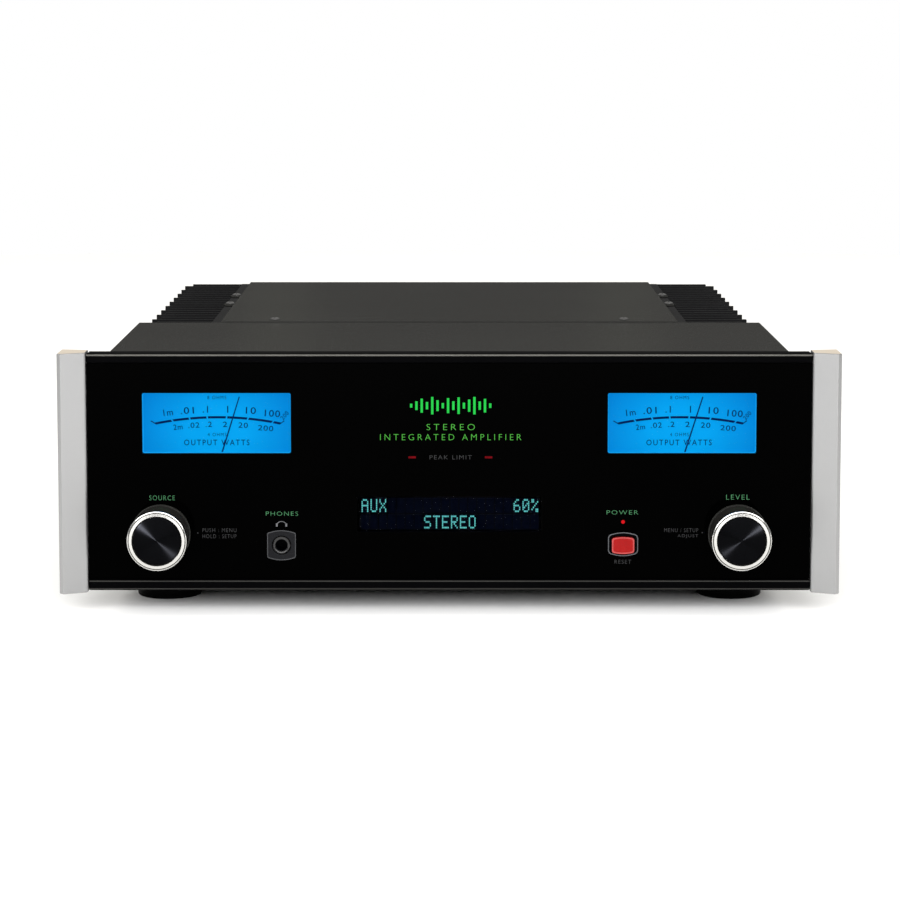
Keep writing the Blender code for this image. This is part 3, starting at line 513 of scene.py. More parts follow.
def make_glass():
    """The glass front: black where it is painted behind, with clear windows over the meters and display."""
    openings = [(f"meter_window_{side}", (centre.x, WINDOW_Z), WINDOW, 0.9, pane)
                for side, centre in meters.items()]
    openings.append(("display_window", (display.x, DISPLAY_WINDOW_Z), DISPLAY_WINDOW, 0.6, smoked_pane))
    glass = cad_copy("glass_front", "glass_panel")
    cut(glass, *[prism("tool_" + name, round_rectangle(*shape), GLASS_Y - 1.0, GLASS_BACK + 1.0)
                 for name, *shape, material in openings])
    rounded(glass, 0.3, 2)
    place(glass, glass_black, "black_glass", "glass_panel")
    for name, centre, size, radius, material in openings:
        outline = round_rectangle(centre, (size[0] - WINDOW_GAP, size[1] - WINDOW_GAP), radius)
        place(prism(name, outline, GLASS_Y + 0.1, GLASS_Y + 1.5), material, "black_glass")


def make_rail(name, node, beads):
    """A rail with raised beads along its face, given as (height over its lower edge, thickness, finish); the
    beads' paler metal is a painted highlight on the rail's edges.
    """
    refine(name, node, 0.5, rail_black, "black_anodised")
    low, high = box(node)
    for number, (rise, height, material) in enumerate(beads, 1):
        points = round_rectangle(((low.x + high.x) / 2, low.z + rise), (high.x - low.x - 0.2, height),
                                 height * 0.45, 3)
        bead = prism(f"{name}_bead_{number}", points, low.y - 0.35, low.y + 0.6)
        rounded(bead, 0.12, 2)
        place(bead, material, "black_anodised")


CAP_EDGE = 2.2


def make_end_cap(side):
    """An end cap: a face that slopes towards the glass, a broad outer corner bevel, and top and bottom faces
    painted paler and warmer as a painted reflection.
    """
    low, high = box("end_cap_" + side)
    sign = -1 if side == "left" else 1
    outer, inner = (low.x, high.x) if side == "left" else (high.x, low.x)
    inner_front = GLASS_Y - 2.5
    inner_back = GLASS_Y + 12.0
    section = [(outer - sign * CAP_EDGE, low.y), (outer, low.y + 1.5), (outer, high.y - 0.6),
               (outer - sign * 0.6, high.y), (inner, inner_back), (inner, inner_front + 0.35),
               (inner + sign * 0.7, inner_front - 0.28)]
    centre = middle("end_cap_" + side)
    shape = bmesh.new()
    rings = []
    for z, share in ((low.z, 0.955), (low.z + 0.5, 1.0), (high.z - 0.5, 1.0), (high.z, 0.955)):
        rings.append([shape.verts.new((centre.x + (x - centre.x) * share,
                                       centre.y + (y - centre.y) * share, z)) for x, y in section])
    skin(shape, rings)
    for ring in (rings[0], rings[-1]):
        shape.faces.new(ring)
    cap = object_from("cap_" + side, shape)
    rounded(cap, 0.18, 2, 15.0, 25.0)
    place(cap, silver, "satin_silver", "end_cap_" + side)
    # The flat top and bottom faces take the painted warm reflection.
    cap.data.materials.append(painted_warm_reflection)
    for face in cap.data.polygons:
        face.material_index = int(abs(face.normal.z) > 0.9)


NEEDLE_GAP = 1.6


def make_meter(side):
    """The lit dial behind its window, with its scale, figures and rim; the rim's blue glow is a painted
    highlight.
    """
    centre = meters[side]
    dial_y = box("meter_needle_left")[1].y + NEEDLE_GAP
    width, height = face_size("meter_housing_" + side)
    outline = round_rectangle((0.0, centre.z - WINDOW_Z), (width - 4.0, height - 4.0), 1.0)
    dial = prism("dial_" + side, outline, -0.3, 0.0)
    dial.location = Vector((centre.x, dial_y, WINDOW_Z)) * MM
    place(dial, dial_lit, "dial_blue")
    make_scale(side, centre.x, dial_y - 0.4)
    outer, inner = [round_rectangle((centre.x, WINDOW_Z), (WINDOW[0] - less, WINDOW[1] - less), radius)
                    for less, radius in ((0.1, 0.9), (0.7, 0.6))]
    rim = ring_plate("window_rim_" + side, outer, inner, GLASS_Y + 1.7, GLASS_Y + 2.1)
    place(rim, rim_painted_glow, "dial_blue")


ARC_RADIUS = 178.0
ARC_TOP = 113.6
ARC_HALF = 36.0
ARC_THICK = 1.3
PRINT_THICK = 0.1
MARKS = (-26.2, -16.3, -6.2, 4.9, 17.1, 31.4)


def arc_point(offset, lift=0.0):
    """A point of the scale's arc at a sideways offset from the meter's middle, lifted off the line."""
    angle = math.asin(offset / ARC_RADIUS)
    radius = ARC_RADIUS + lift
    return radius * math.sin(angle), ARC_TOP - ARC_RADIUS + radius * math.cos(angle)


def make_arc(side, x, y):
    """The arc in stretches between slanted gaps, with a hook at its left end and a tail at its right."""
    gap = 0.42
    edges = [-ARC_HALF] + list(MARKS) + [ARC_HALF]
    steps = 10
    for number, (start, end) in enumerate(zip(edges, edges[1:]), 1):
        first = start + (gap if number > 1 else 0)
        last = end - (gap if number <= len(MARKS) else 0)
        lean = [0.012 * offset for offset in (first, last)]
        top = []
        low = []
        for step in range(steps + 1):
            share = step / steps
            slant = lean[0] + (lean[1] - lean[0]) * share
            offset = first + (last - first) * share
            top.append(arc_point(offset + slant, ARC_THICK / 2))
            low.append(arc_point(offset - slant, -ARC_THICK / 2))
        if number == 1:
            tip = top[0][0] - 2.3, top[0][1] + 0.9
            top[:1] = [tip, (tip[0] + 0.7, tip[1] + 0.3), (top[0][0] + 0.3, top[0][1])]
        if number > len(MARKS):
            tip = top[-1][0] + 1.7, top[-1][1] + 1.0
            top[-1:] = [(top[-1][0] - 0.3, top[-1][1]), (tip[0] - 0.6, tip[1] + 0.3), tip]
        points = [(x + across, z) for across, z in top + low[::-1]]
        place(prism(f"scale_{side}_{number}", points, y - PRINT_THICK, y + PRINT_THICK / 2), navy_print,
              "navy_paint")


FIGURES = (
    ("1m", -28.6, 116.4, 5.4, 3.7, 0.12), (".01", -17.6, 117.5, 7.6, 3.9, 0.05),
    (".1", -7.2, 118.2, 3.0, 3.9, 0.0), ("1", 5.6, 118.2, 0.62, 3.9, 0.0),
    ("10", 18.9, 117.5, 5.8, 3.9, -0.05), ("100", 31.2, 115.8, 8.8, 3.9, -0.07),
    ("200", 38.2, 114.6, 5.2, 2.5, 0.85),
    ("2m", -23.0, 108.0, 5.2, 3.1, 0.1), (".02", -13.9, 109.0, 6.4, 3.1, 0.05),
    (".2", -5.3, 109.5, 3.6, 3.1, 0.0), ("2", 4.0, 109.5, 2.5, 3.1, 0.0),
    ("20", 14.4, 109.0, 5.4, 3.1, -0.05), ("200", 27.3, 107.3, 8.8, 3.1, -0.08),
    ("8 OHMS", -0.6, 125.0, 10.8, 2.0, 0.0), ("4 OHMS", -0.6, 103.6, 10.8, 2.0, 0.0),
    ("OUTPUT WATTS", -0.8, 99.0, 37.5, 3.3, 0.0), )


def make_scale(side, x, y):
    """The scale: the arc, the figures above and below it, and the words."""
    make_arc(side, x, y)
    for number, (text, across, z, width, height, tilt) in enumerate(FIGURES, 1):
        lettering(f"figure_{side}_{number}", text, (x + across, z), (width, height), navy_print,
                  "navy_paint", y, tilt, PRINT_THICK, 0.004 if height > 2.2 else -0.003,
                  1.3 if len(text) > 3 else 1.12)


GLYPHS = {
    "A": "01110 10001 10001 11111 10001 10001 10001", "E": "11111 10000 10000 11110 10000 10000 11111",
    "O": "01110 10001 10001 10001 10001 10001 01110", "R": "11110 10001 10001 11110 10100 10010 10001",
    "S": "01111 10000 10000 01110 00001 00001 11110", "T": "11111 00100 00100 00100 00100 00100 00100",
    "U": "10001 10001 10001 10001 10001 10001 01110", "X": "10001 10001 01010 00100 01010 10001 10001",
    "0": "01110 10001 10011 10101 11001 10001 01110", "6": "00110 01000 10000 11110 10001 10001 01110",
    "%": "11000 11001 00010 00100 01000 10011 00011", }
CELL_PITCH = (5.12, 9.5)
DOT_PITCH = (0.79, 1.09)
DISPLAY_COLUMNS = 20


def cell_origin(column, row):
    """The top left dot of a character cell."""
    x = display.x - DISPLAY_COLUMNS / 2 * CELL_PITCH[0] + column * CELL_PITCH[0] + 1.3
    z = display.z + 7.7 - row * CELL_PITCH[1]
    return x, z


def make_display():
    """A dot-matrix display: unlit cells with a faint painted glow, and the dots of its lit characters."""
    front = box("display_module")[0].y
    cells = []
    for row in range(2):
        for column in range(DISPLAY_COLUMNS):
            x, z = cell_origin(column, row)
            cells.append((x + 2 * DOT_PITCH[0], z - 3 * DOT_PITCH[1], 4.3, 8.4))
    bar_set("display_cells", cells, front - 0.15, front + 0.1, cell_painted_glow, "display_glass")
    words = (("source", "AUX", 0, 0), ("level", "60%", 17, 0), ("mode", "STEREO", 7, 1))
    for name, text, column, row in words:
        dots = []
        for number, letter in enumerate(text):
            x, z = cell_origin(column + number, row)
            for line, pattern in enumerate(GLYPHS[letter].split()):
                for across, lit in enumerate(pattern):
                    if lit == "1":
                        dots.append((x + across * DOT_PITCH[0], z - line * DOT_PITCH[1],
                                     DOT_PITCH[0] * 0.74, DOT_PITCH[1] * 0.78))
        bar_set("display_" + name, dots, front - 0.3, front - 0.16, dot_teal, "display_glass")


EMBLEM_X = 0.8
EMBLEM_Z = 121.8
EMBLEM_PITCH = 3.0
EMBLEM_HEIGHT = 10.0


def sign_bars(name, bars, material, slot="dial_blue"):
    """Bars printed on the glass."""
    bar_set(name, bars, PRINT_Y, GLASS_Y + 0.02, material, slot)


def make_prints():
    """The lit and printed words and signs of the front."""
    heights = (0.22, 0.5, 0.8, 0.42, 1.0, 0.62, 0.3, 0.86, 0.5, 0.95, 0.34, 0.7, 1.0, 0.48, 0.78, 0.26)
    bars = []
    for number, height in enumerate(heights):
        x = EMBLEM_X + (number - (len(heights) - 1) / 2) * EMBLEM_PITCH
        bars.append((x, EMBLEM_Z, 1.35, height * EMBLEM_HEIGHT))
    sign_bars("emblem", bars, emblem_green)
    words = (
        ("line_upper", "STEREO", 0.8, 109.5, 27.5, 3.5, line_green),
        ("line_lower", "INTEGRATED AMPLIFIER", 0.8, 103.7, 80.5, 3.5, line_green),
        ("label_limit", "PEAK LIMIT", 0.8, 92.1, 24.0, 2.3, label_grey),
        ("label_source", "SOURCE", -164.0, 68.7, 14.6, 2.7, label_green),
        ("label_level", "LEVEL", 164.8, 69.1, 13.4, 2.8, label_green),
        ("label_phones", "PHONES", -95.6, 59.6, 18.4, 2.4, label_green),
        ("label_power", "POWER", 98.9, 60.3, 18.0, 2.4, label_green),
        ("label_reset", "RESET", 99.3, 31.7, 9.5, 2.2, label_grey),
        ("hint_left_upper", "PUSH : MENU", -131.4, 50.0, 19.4, 2.2, label_grey),
        ("hint_left_lower", "HOLD : SETUP", -131.4, 46.5, 19.4, 2.2, label_grey),
        ("hint_right_upper", "MENU / SETUP", 132.6, 50.0, 19.4, 2.2, label_grey),
        ("hint_right_lower", "ADJUST", 136.4, 46.5, 11.8, 2.2, label_grey), )
    for name, text, x, z, width, height, material in words:
        lettering(name, text, (x, z), (width, height), material, "dial_blue", PRINT_Y + 0.04,
                  weight=-0.015, spacing=1.5 if material is line_green else 1.22)
    sign_bars("hint_dots", [(-143.8, 48.4, 0.6, 0.6), (144.6, 48.6, 0.6, 0.6)], label_grey)
    sign_bars("limit_lamps", [(-21.2, 92.1, 4.2, 1.2), (22.4, 92.1, 4.2, 1.2)], limit_red, "lamp_red")
    make_phones_sign()
    lamp = lathe("power_lamp_lens", [(0, 0.05), (0.7, 0.04), (1.05, 0), (1.05, -0.1),
                                     (0, -0.1)], (power.x, GLASS_Y, middle("power_lamp").z), 24)
    place(lamp, lamp_red, "lamp_red")


def make_phones_sign():
    """A small headphone sign: a band with two ear pads."""
    centre = (phones.x, 52.9)
    outer = 2.9
    inner = 2.45
    flat = 0.8
    angles = [math.radians(10 + 160 * step / 16) for step in range(17)]
    points = [(centre[0] + outer * math.cos(a), centre[1] + outer * flat * math.sin(a)) for a in angles]
    angles.reverse()
    points += [(centre[0] + inner * math.cos(a), centre[1] + inner * flat * math.sin(a)) for a in angles]
    place(prism("phones_sign_band", points, PRINT_Y, GLASS_Y + 0.02), mark_grey, "dial_blue")
    pads = [(centre[0] + side * 2.7, centre[1] + 0.1, 1.0, 1.8) for side in (-1, 1)]
    sign_bars("phones_sign_pads", pads, mark_grey)


# ---- front: controls
KNOB_FACE = 13.7


def make_knob(prefix, centre):
    """A knob: its black body, the spun face, the bright ring with a turned groove painted dark as painted
    shade, and a fine skirt ring in paler metal as a painted highlight.
    """
    low, high = box(prefix + "_knob_ring")
    reach = GLASS_Y - low.y
    radius = (high.x - low.x) / 2 + 0.3
    body = prefix + "_dial"
    origin = (centre.x, GLASS_Y, centre.z)
    side = radius - 0.6
    ring_back = reach - 3.1
    profile = [(0, reach - 1.2), (KNOB_FACE - 0.1, reach - 1.2),
               (KNOB_FACE - 0.1, ring_back - 0.05), (side, ring_back - 0.05),
               (side + 0.1, ring_back - 0.5), (side + 0.1, 4.4), (side - 0.5, 4.1),
               (side - 0.5, 3.4), (side - 0.1, 3.2), (side - 0.1, 2.5),
               (side - 0.8, 2.3), (side - 0.8, 1.2), (0, 1.2)]
    core = lathe(prefix + "_knob_body", profile, origin)
    place(core, knob_side, "knob_black", prefix + "_knob", body=body)
    disc = [(0, reach - 0.75), (KNOB_FACE - 0.9, reach - 0.75),
            (KNOB_FACE - 0.35, reach - 0.85), (KNOB_FACE - 0.15, reach - 1.1),
            (KNOB_FACE - 0.15, reach - 1.19), (0, reach - 1.19)]
    plate = lathe(prefix + "_knob_face", disc, origin, 128)
    place(plate, knob_spun, "knob_black", body=body)
    ring = [(KNOB_FACE, reach - 0.95), (KNOB_FACE + 0.2, reach - 0.4),
            (KNOB_FACE + 0.5, reach), (radius - 1.35, reach - 0.12),
            (radius - 1.25, reach - 0.75), (radius - 0.85, reach - 0.75),
            (radius - 0.75, reach - 0.42), (radius - 0.3, reach - 0.6),
            (radius, reach - 1.1), (radius, reach - 2.7), (radius - 0.3, ring_back), (KNOB_FACE, ring_back)]
    rim = lathe(prefix + "_knob_rim", ring, origin, 128)
    place(rim, ring_bright, "bright_ring", prefix + "_knob_ring", body=body)
    # The groove inlay is painted dark: painted shade in the turned groove.
    inlay = [(radius - 1.24, reach - 0.56), (radius - 0.86, reach - 0.56),
             (radius - 0.86, reach - 0.74), (radius - 1.24, reach - 0.74)]
    place(lathe(prefix + "_knob_groove", inlay, origin, 128), groove_painted_shade, "bright_ring", body=body)
    # The skirt's paler metal is a painted highlight on the knob's rear edge.
    skirt = [(side - 0.75, 2.25), (radius - 0.1, 2.2), (radius, 2.05), (radius, 1.5),
             (radius - 0.15, 1.3), (side - 0.75, 1.3)]
    edge = lathe(prefix + "_knob_skirt", skirt, origin)
    place(edge, bead_painted_highlight_dim, "knob_black", body=body)


def fitting_rim(name, centre, size, radius, bow, front, material, width=0.55, body="chassis",
                slot="dark_grey_plastic"):
    """The fine raised rim round a fitting's plate; its paler material is a painted highlight along the edge.
    """
    inner = (size[0] - 2 * width, size[1] - 2 * width)
    rim = ring_plate(name, round_rectangle(centre, size, radius, 6, bow),
                     round_rectangle(centre, inner, radius - width / 2, 6, bow), front, front + 0.5)
    rounded(rim, 0.15, 2)
    place(rim, material, slot, body=body)


def make_phones():
    """The headphone plate with its bowed edges, and the socket's nose with a rounded mouth."""
    front = box("phones_bezel")[0].y
    size = face_size("phones_bezel")
    plate = prism("phones_plate", round_rectangle((phones.x, phones.z), size, 1.4, 6, 1.1), front,
                  GLASS_Y - 0.05)
    tool = lathe("tool_phones", [(0, 4), (5.35, 4), (5.35, -4), (0, -4)],
                 (phones.x, GLASS_Y, phones.z), 64)
    cut(plate, tool)
    rounded(plate, 0.45, 3)
    place(plate, grey_plastic, "dark_grey_plastic", "phones_bezel")
    fitting_rim("phones_rim", (phones.x, phones.z), size, 1.4, 1.1, front - 0.15, rim_painted_highlight_dim)
    reach = GLASS_Y - box("phones_socket")[0].y
    profile = [(3.3, reach - 0.9), (3.55, reach - 0.3), (4.0, reach), (4.5, reach),
               (5.0, reach - 0.5), (5.0, -9.0), (3.3, -9.0)]
    nose = lathe("phones_nose", profile, (phones.x, GLASS_Y, phones.z))
    place(nose, socket_gloss, "black_plastic", "phones_socket")
    liner = [(0, -8.3), (3.1, -8.3), (3.1, reach - 1.2), (3.28, reach - 1.2), (3.28, -8.6), (0, -8.6)]
    bore = lathe("phones_bore", liner, (phones.x, GLASS_Y, phones.z))
    place(bore, display_dark, "black_plastic")


KEY_BOW = 0.5


def make_power():
    """The red power button in its raised surround."""
    front = box("power_bezel")[0].y
    size = face_size("power_bezel")
    centre = (power.x, power.z + 0.6)
    key_low, key_high = box("power_button")
    key_size = face_size("power_button")
    hole = round_rectangle((power.x, power.z), (key_size[0] + 0.6, key_size[1] + 0.6), 1.7)
    outline = round_rectangle(centre, size, 2.6, 6, 0.9)
    surround = ring_plate("power_surround", outline, hole, front, GLASS_Y - 0.05)
    rounded(surround, 0.5)
    place(surround, rail_black, "dark_grey_plastic", "power_bezel")
    fitting_rim("power_rim", centre, size, 2.6, 0.9, front - 0.15, rim_painted_highlight)
    key = prism("power_key_cap", round_rectangle((power.x, power.z), key_size, 1.5, 6, KEY_BOW),
                key_low.y + 0.2, key_high.y)
    rounded(key, 0.6, 4)
    # The key's lighter red edge ring is a painted highlight.
    fitting_rim("power_key_edge", (power.x, power.z), key_size, 1.5, KEY_BOW, key_low.y, red_painted_highlight, 0.85,
                "power_key", "red_plastic")
    place(key, red_plastic, "red_plastic", "power_button", body="power_key")


# ---- body
def make_covers():
    """The two top covers, with softened sheet edges."""
    refine("cover_front", "front_cover", 0.4, paint, "painted_steel")
    refine("cover_rear", "rear_cover", 0.3, paint, "painted_steel")


def make_screws():
    """The six cross-head screws of the rear cover."""
    for number in range(1, 7):
        node = f"cover_screw_{number}"
        low, high = box(node)
        centre = ((low.x + high.x) / 2, (low.y + high.y) / 2, high.z - 1.3)
        profile = [(0, 1.3), (0.9, 1.27), (1.8, 1.12), (2.6, 0.75), (3.0, 0.3), (3.1, 0), (0, 0)]
        screw = lathe(f"screw_{number}", profile, centre, 48, "UP")
        for name, size in (("tool_a", (3.4, 0.7)), ("tool_b", (0.7, 3.4))):
            shape = bmesh.new()
            add_block(shape, (centre[0], centre[1], centre[2] + 1.2), (*size, 1.4))
            cut(screw, object_from(name, shape))
        smooth(screw)
        place(screw, screw_black, "screw_black", node)


def make_heatsinks():
    """The finned heatsinks, with soft extruded edges."""
    for side in ("left", "right"):
        refine("fins_" + side, "heatsink_" + side, 0.35, sink_black, "black_anodised")


def make_feet():
    """Round feet with a soft lower edge and a groove round the side."""
    for name in ("front_left", "front_right", "rear_left", "rear_right"):
        low, high = box("foot_" + name)
        centre = ((low.x + high.x) / 2, (low.y + high.y) / 2, low.z)
        radius = (high.x - low.x) / 2
        top = high.z - low.z
        profile = [(0, top), (radius - 0.4, top), (radius, top - 0.5), (radius, 6.3),
                   (radius - 0.5, 6.0), (radius - 0.5, 5.5), (radius, 5.2),
                   (radius, 1.2), (radius - 0.4, 0.4), (radius - 1.2, 0), (6.0, 0), (6.0, 6.0), (0, 6.0)]
        foot = lathe("stand_" + name, profile, centre, 96, "UP")
        place(foot, foot_black, "foot_plastic", "foot_" + name)


# ---- rear
rear_low, rear_high = box("rear_panel")
REAR_Y = rear_high.y


def panel_screws(name, places, y, radius=2.6):
    """Pan-head screws with a round recess in the top, their heads standing out of the back."""
    dome = [(0, 0.9), (0.55 * radius, 0.9), (0.6 * radius, 1.6), (0.8 * radius, 1.45),
            (0.95 * radius, 1.0), (radius, 0.4), (radius, 0.05), (0, 0.05)]
    place(lathe(name, dome, (0.0, y, 0.0), 32, "BACK", places), screw_black, "screw_black")


def rear_plate(name, node, radius, thick, edge):
    """A flat plate with round corners for a CAD node on the rear panel."""
    centre = middle(node)
    outline = round_rectangle((centre.x, centre.z), face_size(node), radius)
    plate = prism(name, outline, REAR_Y + 0.3, REAR_Y + thick)
    rounded(plate, edge)
    place(plate, black_plastic, "black_plastic", node)


def make_rear_panel():
    """The painted rear panel and the screws along its edges."""
    refine("panel_rear", "rear_panel", 0.25, paint, "painted_steel")
    xs = [rear_low.x + 7.0 + (rear_high.x - rear_low.x - 14.0) * step / 4 for step in range(5)]
    places = [(x, z) for x in xs for z in (rear_low.z + 6.0, rear_high.z - 6.0)]
    panel_screws("rear_screws", places, REAR_Y)


def make_speaker_terminals():
    """The terminal plate, its gold studs and washers, and the four screw caps."""
    rear_plate("terminal_plate", "speaker_terminal_base", 3.0, 3.3, 0.5)
    face = REAR_Y + 3.3
    spots = [middle(f"speaker_cap_{number}") for number in range(1, 5)]
    centres = [(spot.x, spot.z) for spot in spots]
    stud = [(0, 16.5), (2.6, 16.5), (3.0, 16.1), (3.0, 1.4), (5.6, 1.4),
            (6.2, 1.1), (6.2, -0.2), (0, -0.2)]
    place(lathe("terminal_studs", stud, (0.0, face, 0.0), 48, "BACK", centres), gold, "bright_ring")
    for number, centre in enumerate(centres, 1):
        low, high = box(f"speaker_cap_{number}")
        body = f"speaker_post_{number}"
        colour = red_plastic if number % 2 == 0 else black_plastic
        cap = make_terminal_cap(f"terminal_cap_{number}", centre, low.y, high)
        place(cap, colour, "dark_grey_plastic", f"speaker_cap_{number}", body=body)
        reach = high.y - REAR_Y
        button = [(0, reach - 0.25), (3.2, reach - 0.25), (3.6, reach - 0.5),
                  (3.6, reach - 1.3), (0, reach - 1.3)]
        disc = lathe(f"terminal_disc_{number}", button, (centre[0], REAR_Y, centre[1]), 48, "BACK")
        place(disc, gold, "bright_ring", body=body)


FLUTE_DEPTH = 0.055


def make_terminal_cap(name, centre, front, high):
    """A screw cap with a fluted grip and a recess in its end."""
    flutes = 20
    segments = flutes * 6
    radius = high.x - centre[0]
    outside = [(front, 0.93, 0), (front + 0.5, 1.0, 0), (front + 3.0, 1.0, 0), (front + 3.4, 0.93, 0),
               (front + 4.2, 0.93, 0), (front + 4.6, 0.99, 1), (high.y - 1.6, 0.99, 1),
               (high.y - 0.7, 0.93, 1), (high.y, 0.84, 0), (high.y, 0.6, 0), (high.y - 1.25, 0.56, 0)]
    inside = [(high.y - 2.2, 0.49, 0), (front, 0.49, 0)]
    shape = bmesh.new()

    def rings_of(levels):
        rings = []
        for y, share, fluted in levels:
            ring = []
            for step in range(segments):
                angle = math.tau * step / segments
                reach = radius * (share - FLUTE_DEPTH * fluted * max(0.0, math.cos(flutes * angle)))
                ring.append(shape.verts.new((centre[0] + reach * math.cos(angle), y,
                                             centre[1] + reach * math.sin(angle))))
            rings.append(ring)
        return rings

    shell = rings_of(outside)
    bore = rings_of(inside)
    for chain in (shell, bore, [bore[-1], shell[0]]):
        skin(shape, chain)
    shape.faces.new(shell[-1])
    shape.faces.new(bore[0])
    made = object_from(name, shape)
    smooth(made, 40.0)
    return made


AUDIO_PITCH = 18.0
AUDIO_COLUMNS = 6
AUDIO_ROWS = 8.5


def make_audio_sockets():
    """Two rows of line sockets: gold barrels with a white or red insulator round a hole."""
    high = box("audio_socket_block")[1]
    centre = middle("audio_socket_block")
    rear_plate("line_plate", "audio_socket_block", 2.5, 2.3, 0.4)
    face = REAR_Y + 2.3
    columns = [centre.x + (step - (AUDIO_COLUMNS - 1) / 2) * AUDIO_PITCH for step in range(AUDIO_COLUMNS)]
    reach = high.y - face
    barrel = [(3.3, reach), (3.9, reach), (4.15, reach - 0.3), (4.15, 1.6),
              (5.4, 1.5), (5.7, 1.2), (5.7, -0.1), (3.3, -0.1)]
    both = [(x, z) for x in columns for z in (centre.z - AUDIO_ROWS, centre.z + AUDIO_ROWS)]
    place(lathe("line_barrels", barrel, (0.0, face, 0.0), 40, "BACK", both), gold, "bright_ring")
    core = [(1.6, reach - 0.6), (3.0, reach - 0.6), (3.25, reach - 0.9), (3.25, 0.2), (1.6, 0.2)]
    for suffix, z, material in (("upper", centre.z + AUDIO_ROWS, insulator_white),
                                ("lower", centre.z - AUDIO_ROWS, red_plastic)):
        cores = lathe("line_cores_" + suffix, core, (0.0, face, 0.0), 40, "BACK", [(x, z) for x in columns])
        place(cores, material, "black_plastic")
    edges = [(centre.x + side * AUDIO_PITCH * 2, centre.z) for side in (-1, 0, 1)]
    panel_screws("line_plate_screws", edges, face, 2.0)


def make_inlet():
    """The mains inlet with a softened moulding, and nickel caps on its pins."""
    refine("mains_socket", "mains_inlet", 0.35, black_plastic, "black_plastic")
    centre = middle("mains_inlet")
    pins = [(centre.x + x, centre.z + z, 2.3, 4.3) for x, z in ((-7, -0.5), (7, -0.5), (0, 3.5))]
    bar_set("mains_pins", pins, REAR_Y - 12.0, REAR_Y - 0.5, nickel, "bright_ring")
    ears = [(centre.x + side * 19.5, centre.z) for side in (-1, 1)]
    panel_screws("mains_screws", ears, box("mains_inlet")[1].y, 2.8)


def make_digital_sockets():
    """The square data socket and two optical sockets, with their shutters and a contact tongue."""
    refine("digital_plate", "digital_socket_block", 0.35, black_plastic, "black_plastic")
    centre = middle("digital_socket_block")
    tongue = [(centre.x - 22.0, centre.z, 5.0, 2.6)]
    bar_set("data_tongue", tongue, REAR_Y - 9.0, REAR_Y + 1.0, insulator_white, "black_plastic")
    shutters = [(centre.x + x, centre.z, 6.9, 6.9) for x in (2.0, 22.0)]
    bar_set("optical_shutters", shutters, REAR_Y - 8.0, REAR_Y - 0.6, grey_plastic, "dark_grey_plastic")
    ends = [(centre.x + side * 31.5, centre.z) for side in (-1, 1)]
    panel_screws("digital_screws", ends, box("digital_socket_block")[1].y, 2.0)


def make_underside():
    """Pan-head screws under the chassis and one in the middle of each foot."""
    floor = box("chassis_pan")[0].z
    dome = [(0, -0.8), (1.5, -0.8), (1.6, -1.5), (2.3, -1.3), (2.8, -0.5), (2.8, 0.1), (0, 0.1)]
    spots = [(x, y) for x in (-120, 0, 120) for y in (-205, -60, 90, 215)]
    spots += [(x, y) for x in (-125, -90) for y in (-140, -105)]
    screws = lathe("floor_screws", dome, (0.0, 0.0, floor), 32, "UP", spots)
    place(screws, screw_black, "screw_black")


# ---- CAD nodes that stay
def dress_cad_nodes():
    """Materials of the CAD nodes that are shown as they are."""
    looks = {
        paint: "chassis_pan front_subpanel",
        steel: "transformer_clamp source_shaft level_shaft source_push_plunger",
        housing_blue: "meter_housing_left meter_housing_right",
        # The needles' faint navy glow is painted light; a needle gives no light of its own.
        needle_painted_glow: "meter_needle_left meter_needle_right", display_dark: "display_module",
        black_plastic: "power_switch source_encoder level_encoder output_transistors_left "
                       "output_transistors_right", lamp_red: "power_lamp",
        board_green: "power_supply_board amplifier_board_left amplifier_board_right main_board",
        copper: "toroidal_transformer", sleeve_blue: "reservoir_capacitor_1 reservoir_capacitor_2", }
    for material, names in looks.items():
        for name in names.split():
            nodes[name].data.materials.clear()
            nodes[name].data.materials.append(material)


# ---- stage, light and camera
FLOOR_RADIUS = 2.45


def make_stage():
    """A plain white round floor; past its edge the white room goes on."""
    shape = bmesh.new()
    bmesh.ops.create_circle(shape, cap_ends=True, segments=128, radius=FLOOR_RADIUS)
    floor = object_from("floor", shape, 1.0)
    made, tree, shader = shader_of("floor_white")
    tone = ramp(tree, noise(tree, 2.0), (0.97, 0.97, 0.97), (0.985, 0.985, 0.985))
    feed(tree, shader, {"Base Color": tone, "Roughness": 0.9, "Specular IOR Level": 0.0})
    floor.data.materials.append(made)


def make_light(name, place_at, target, size, watts, lit=None):
    """A soft box aimed at a point; lit names the one object that it lights."""
    lamp = bpy.data.lights.new(name, "AREA")
    lamp.shape = "RECTANGLE"
    lamp.size, lamp.size_y = size
    lamp.energy = watts
    holder = new_object(name, lamp)
    holder.location = place_at
    holder.rotation_euler = (Vector(target) - Vector(place_at)).to_track_quat("-Z", "Y").to_euler()
    if lit:
        receivers = bpy.data.collections.new(name + "_lit")
        receivers.objects.link(bpy.data.objects[lit])
        holder.light_linking.receiver_collection = receivers


def smooth_step(tree, value, low, high):
    """0 below low, 1 above high, smooth between."""
    inputs = {"Value": value, "From Min": low, "From Max": high}
    return add_node(tree, "MapRange", inputs, interpolation_type="SMOOTHSTEP").outputs["Result"]


def blend_colours(tree, share, first, second):
    """Mix two colours, given as values or sockets, by a share."""
    inputs = {"Factor": share, "A": first, "B": second}
    return add_node(tree, "Mix", inputs, data_type="RGBA").outputs["Result"]


def combine(tree, operation, first, second=0.0):
    """A math node of a socket and a second socket or number."""
    return add_node(tree, "Math", {0: first, 1: second}, operation=operation).outputs["Value"]


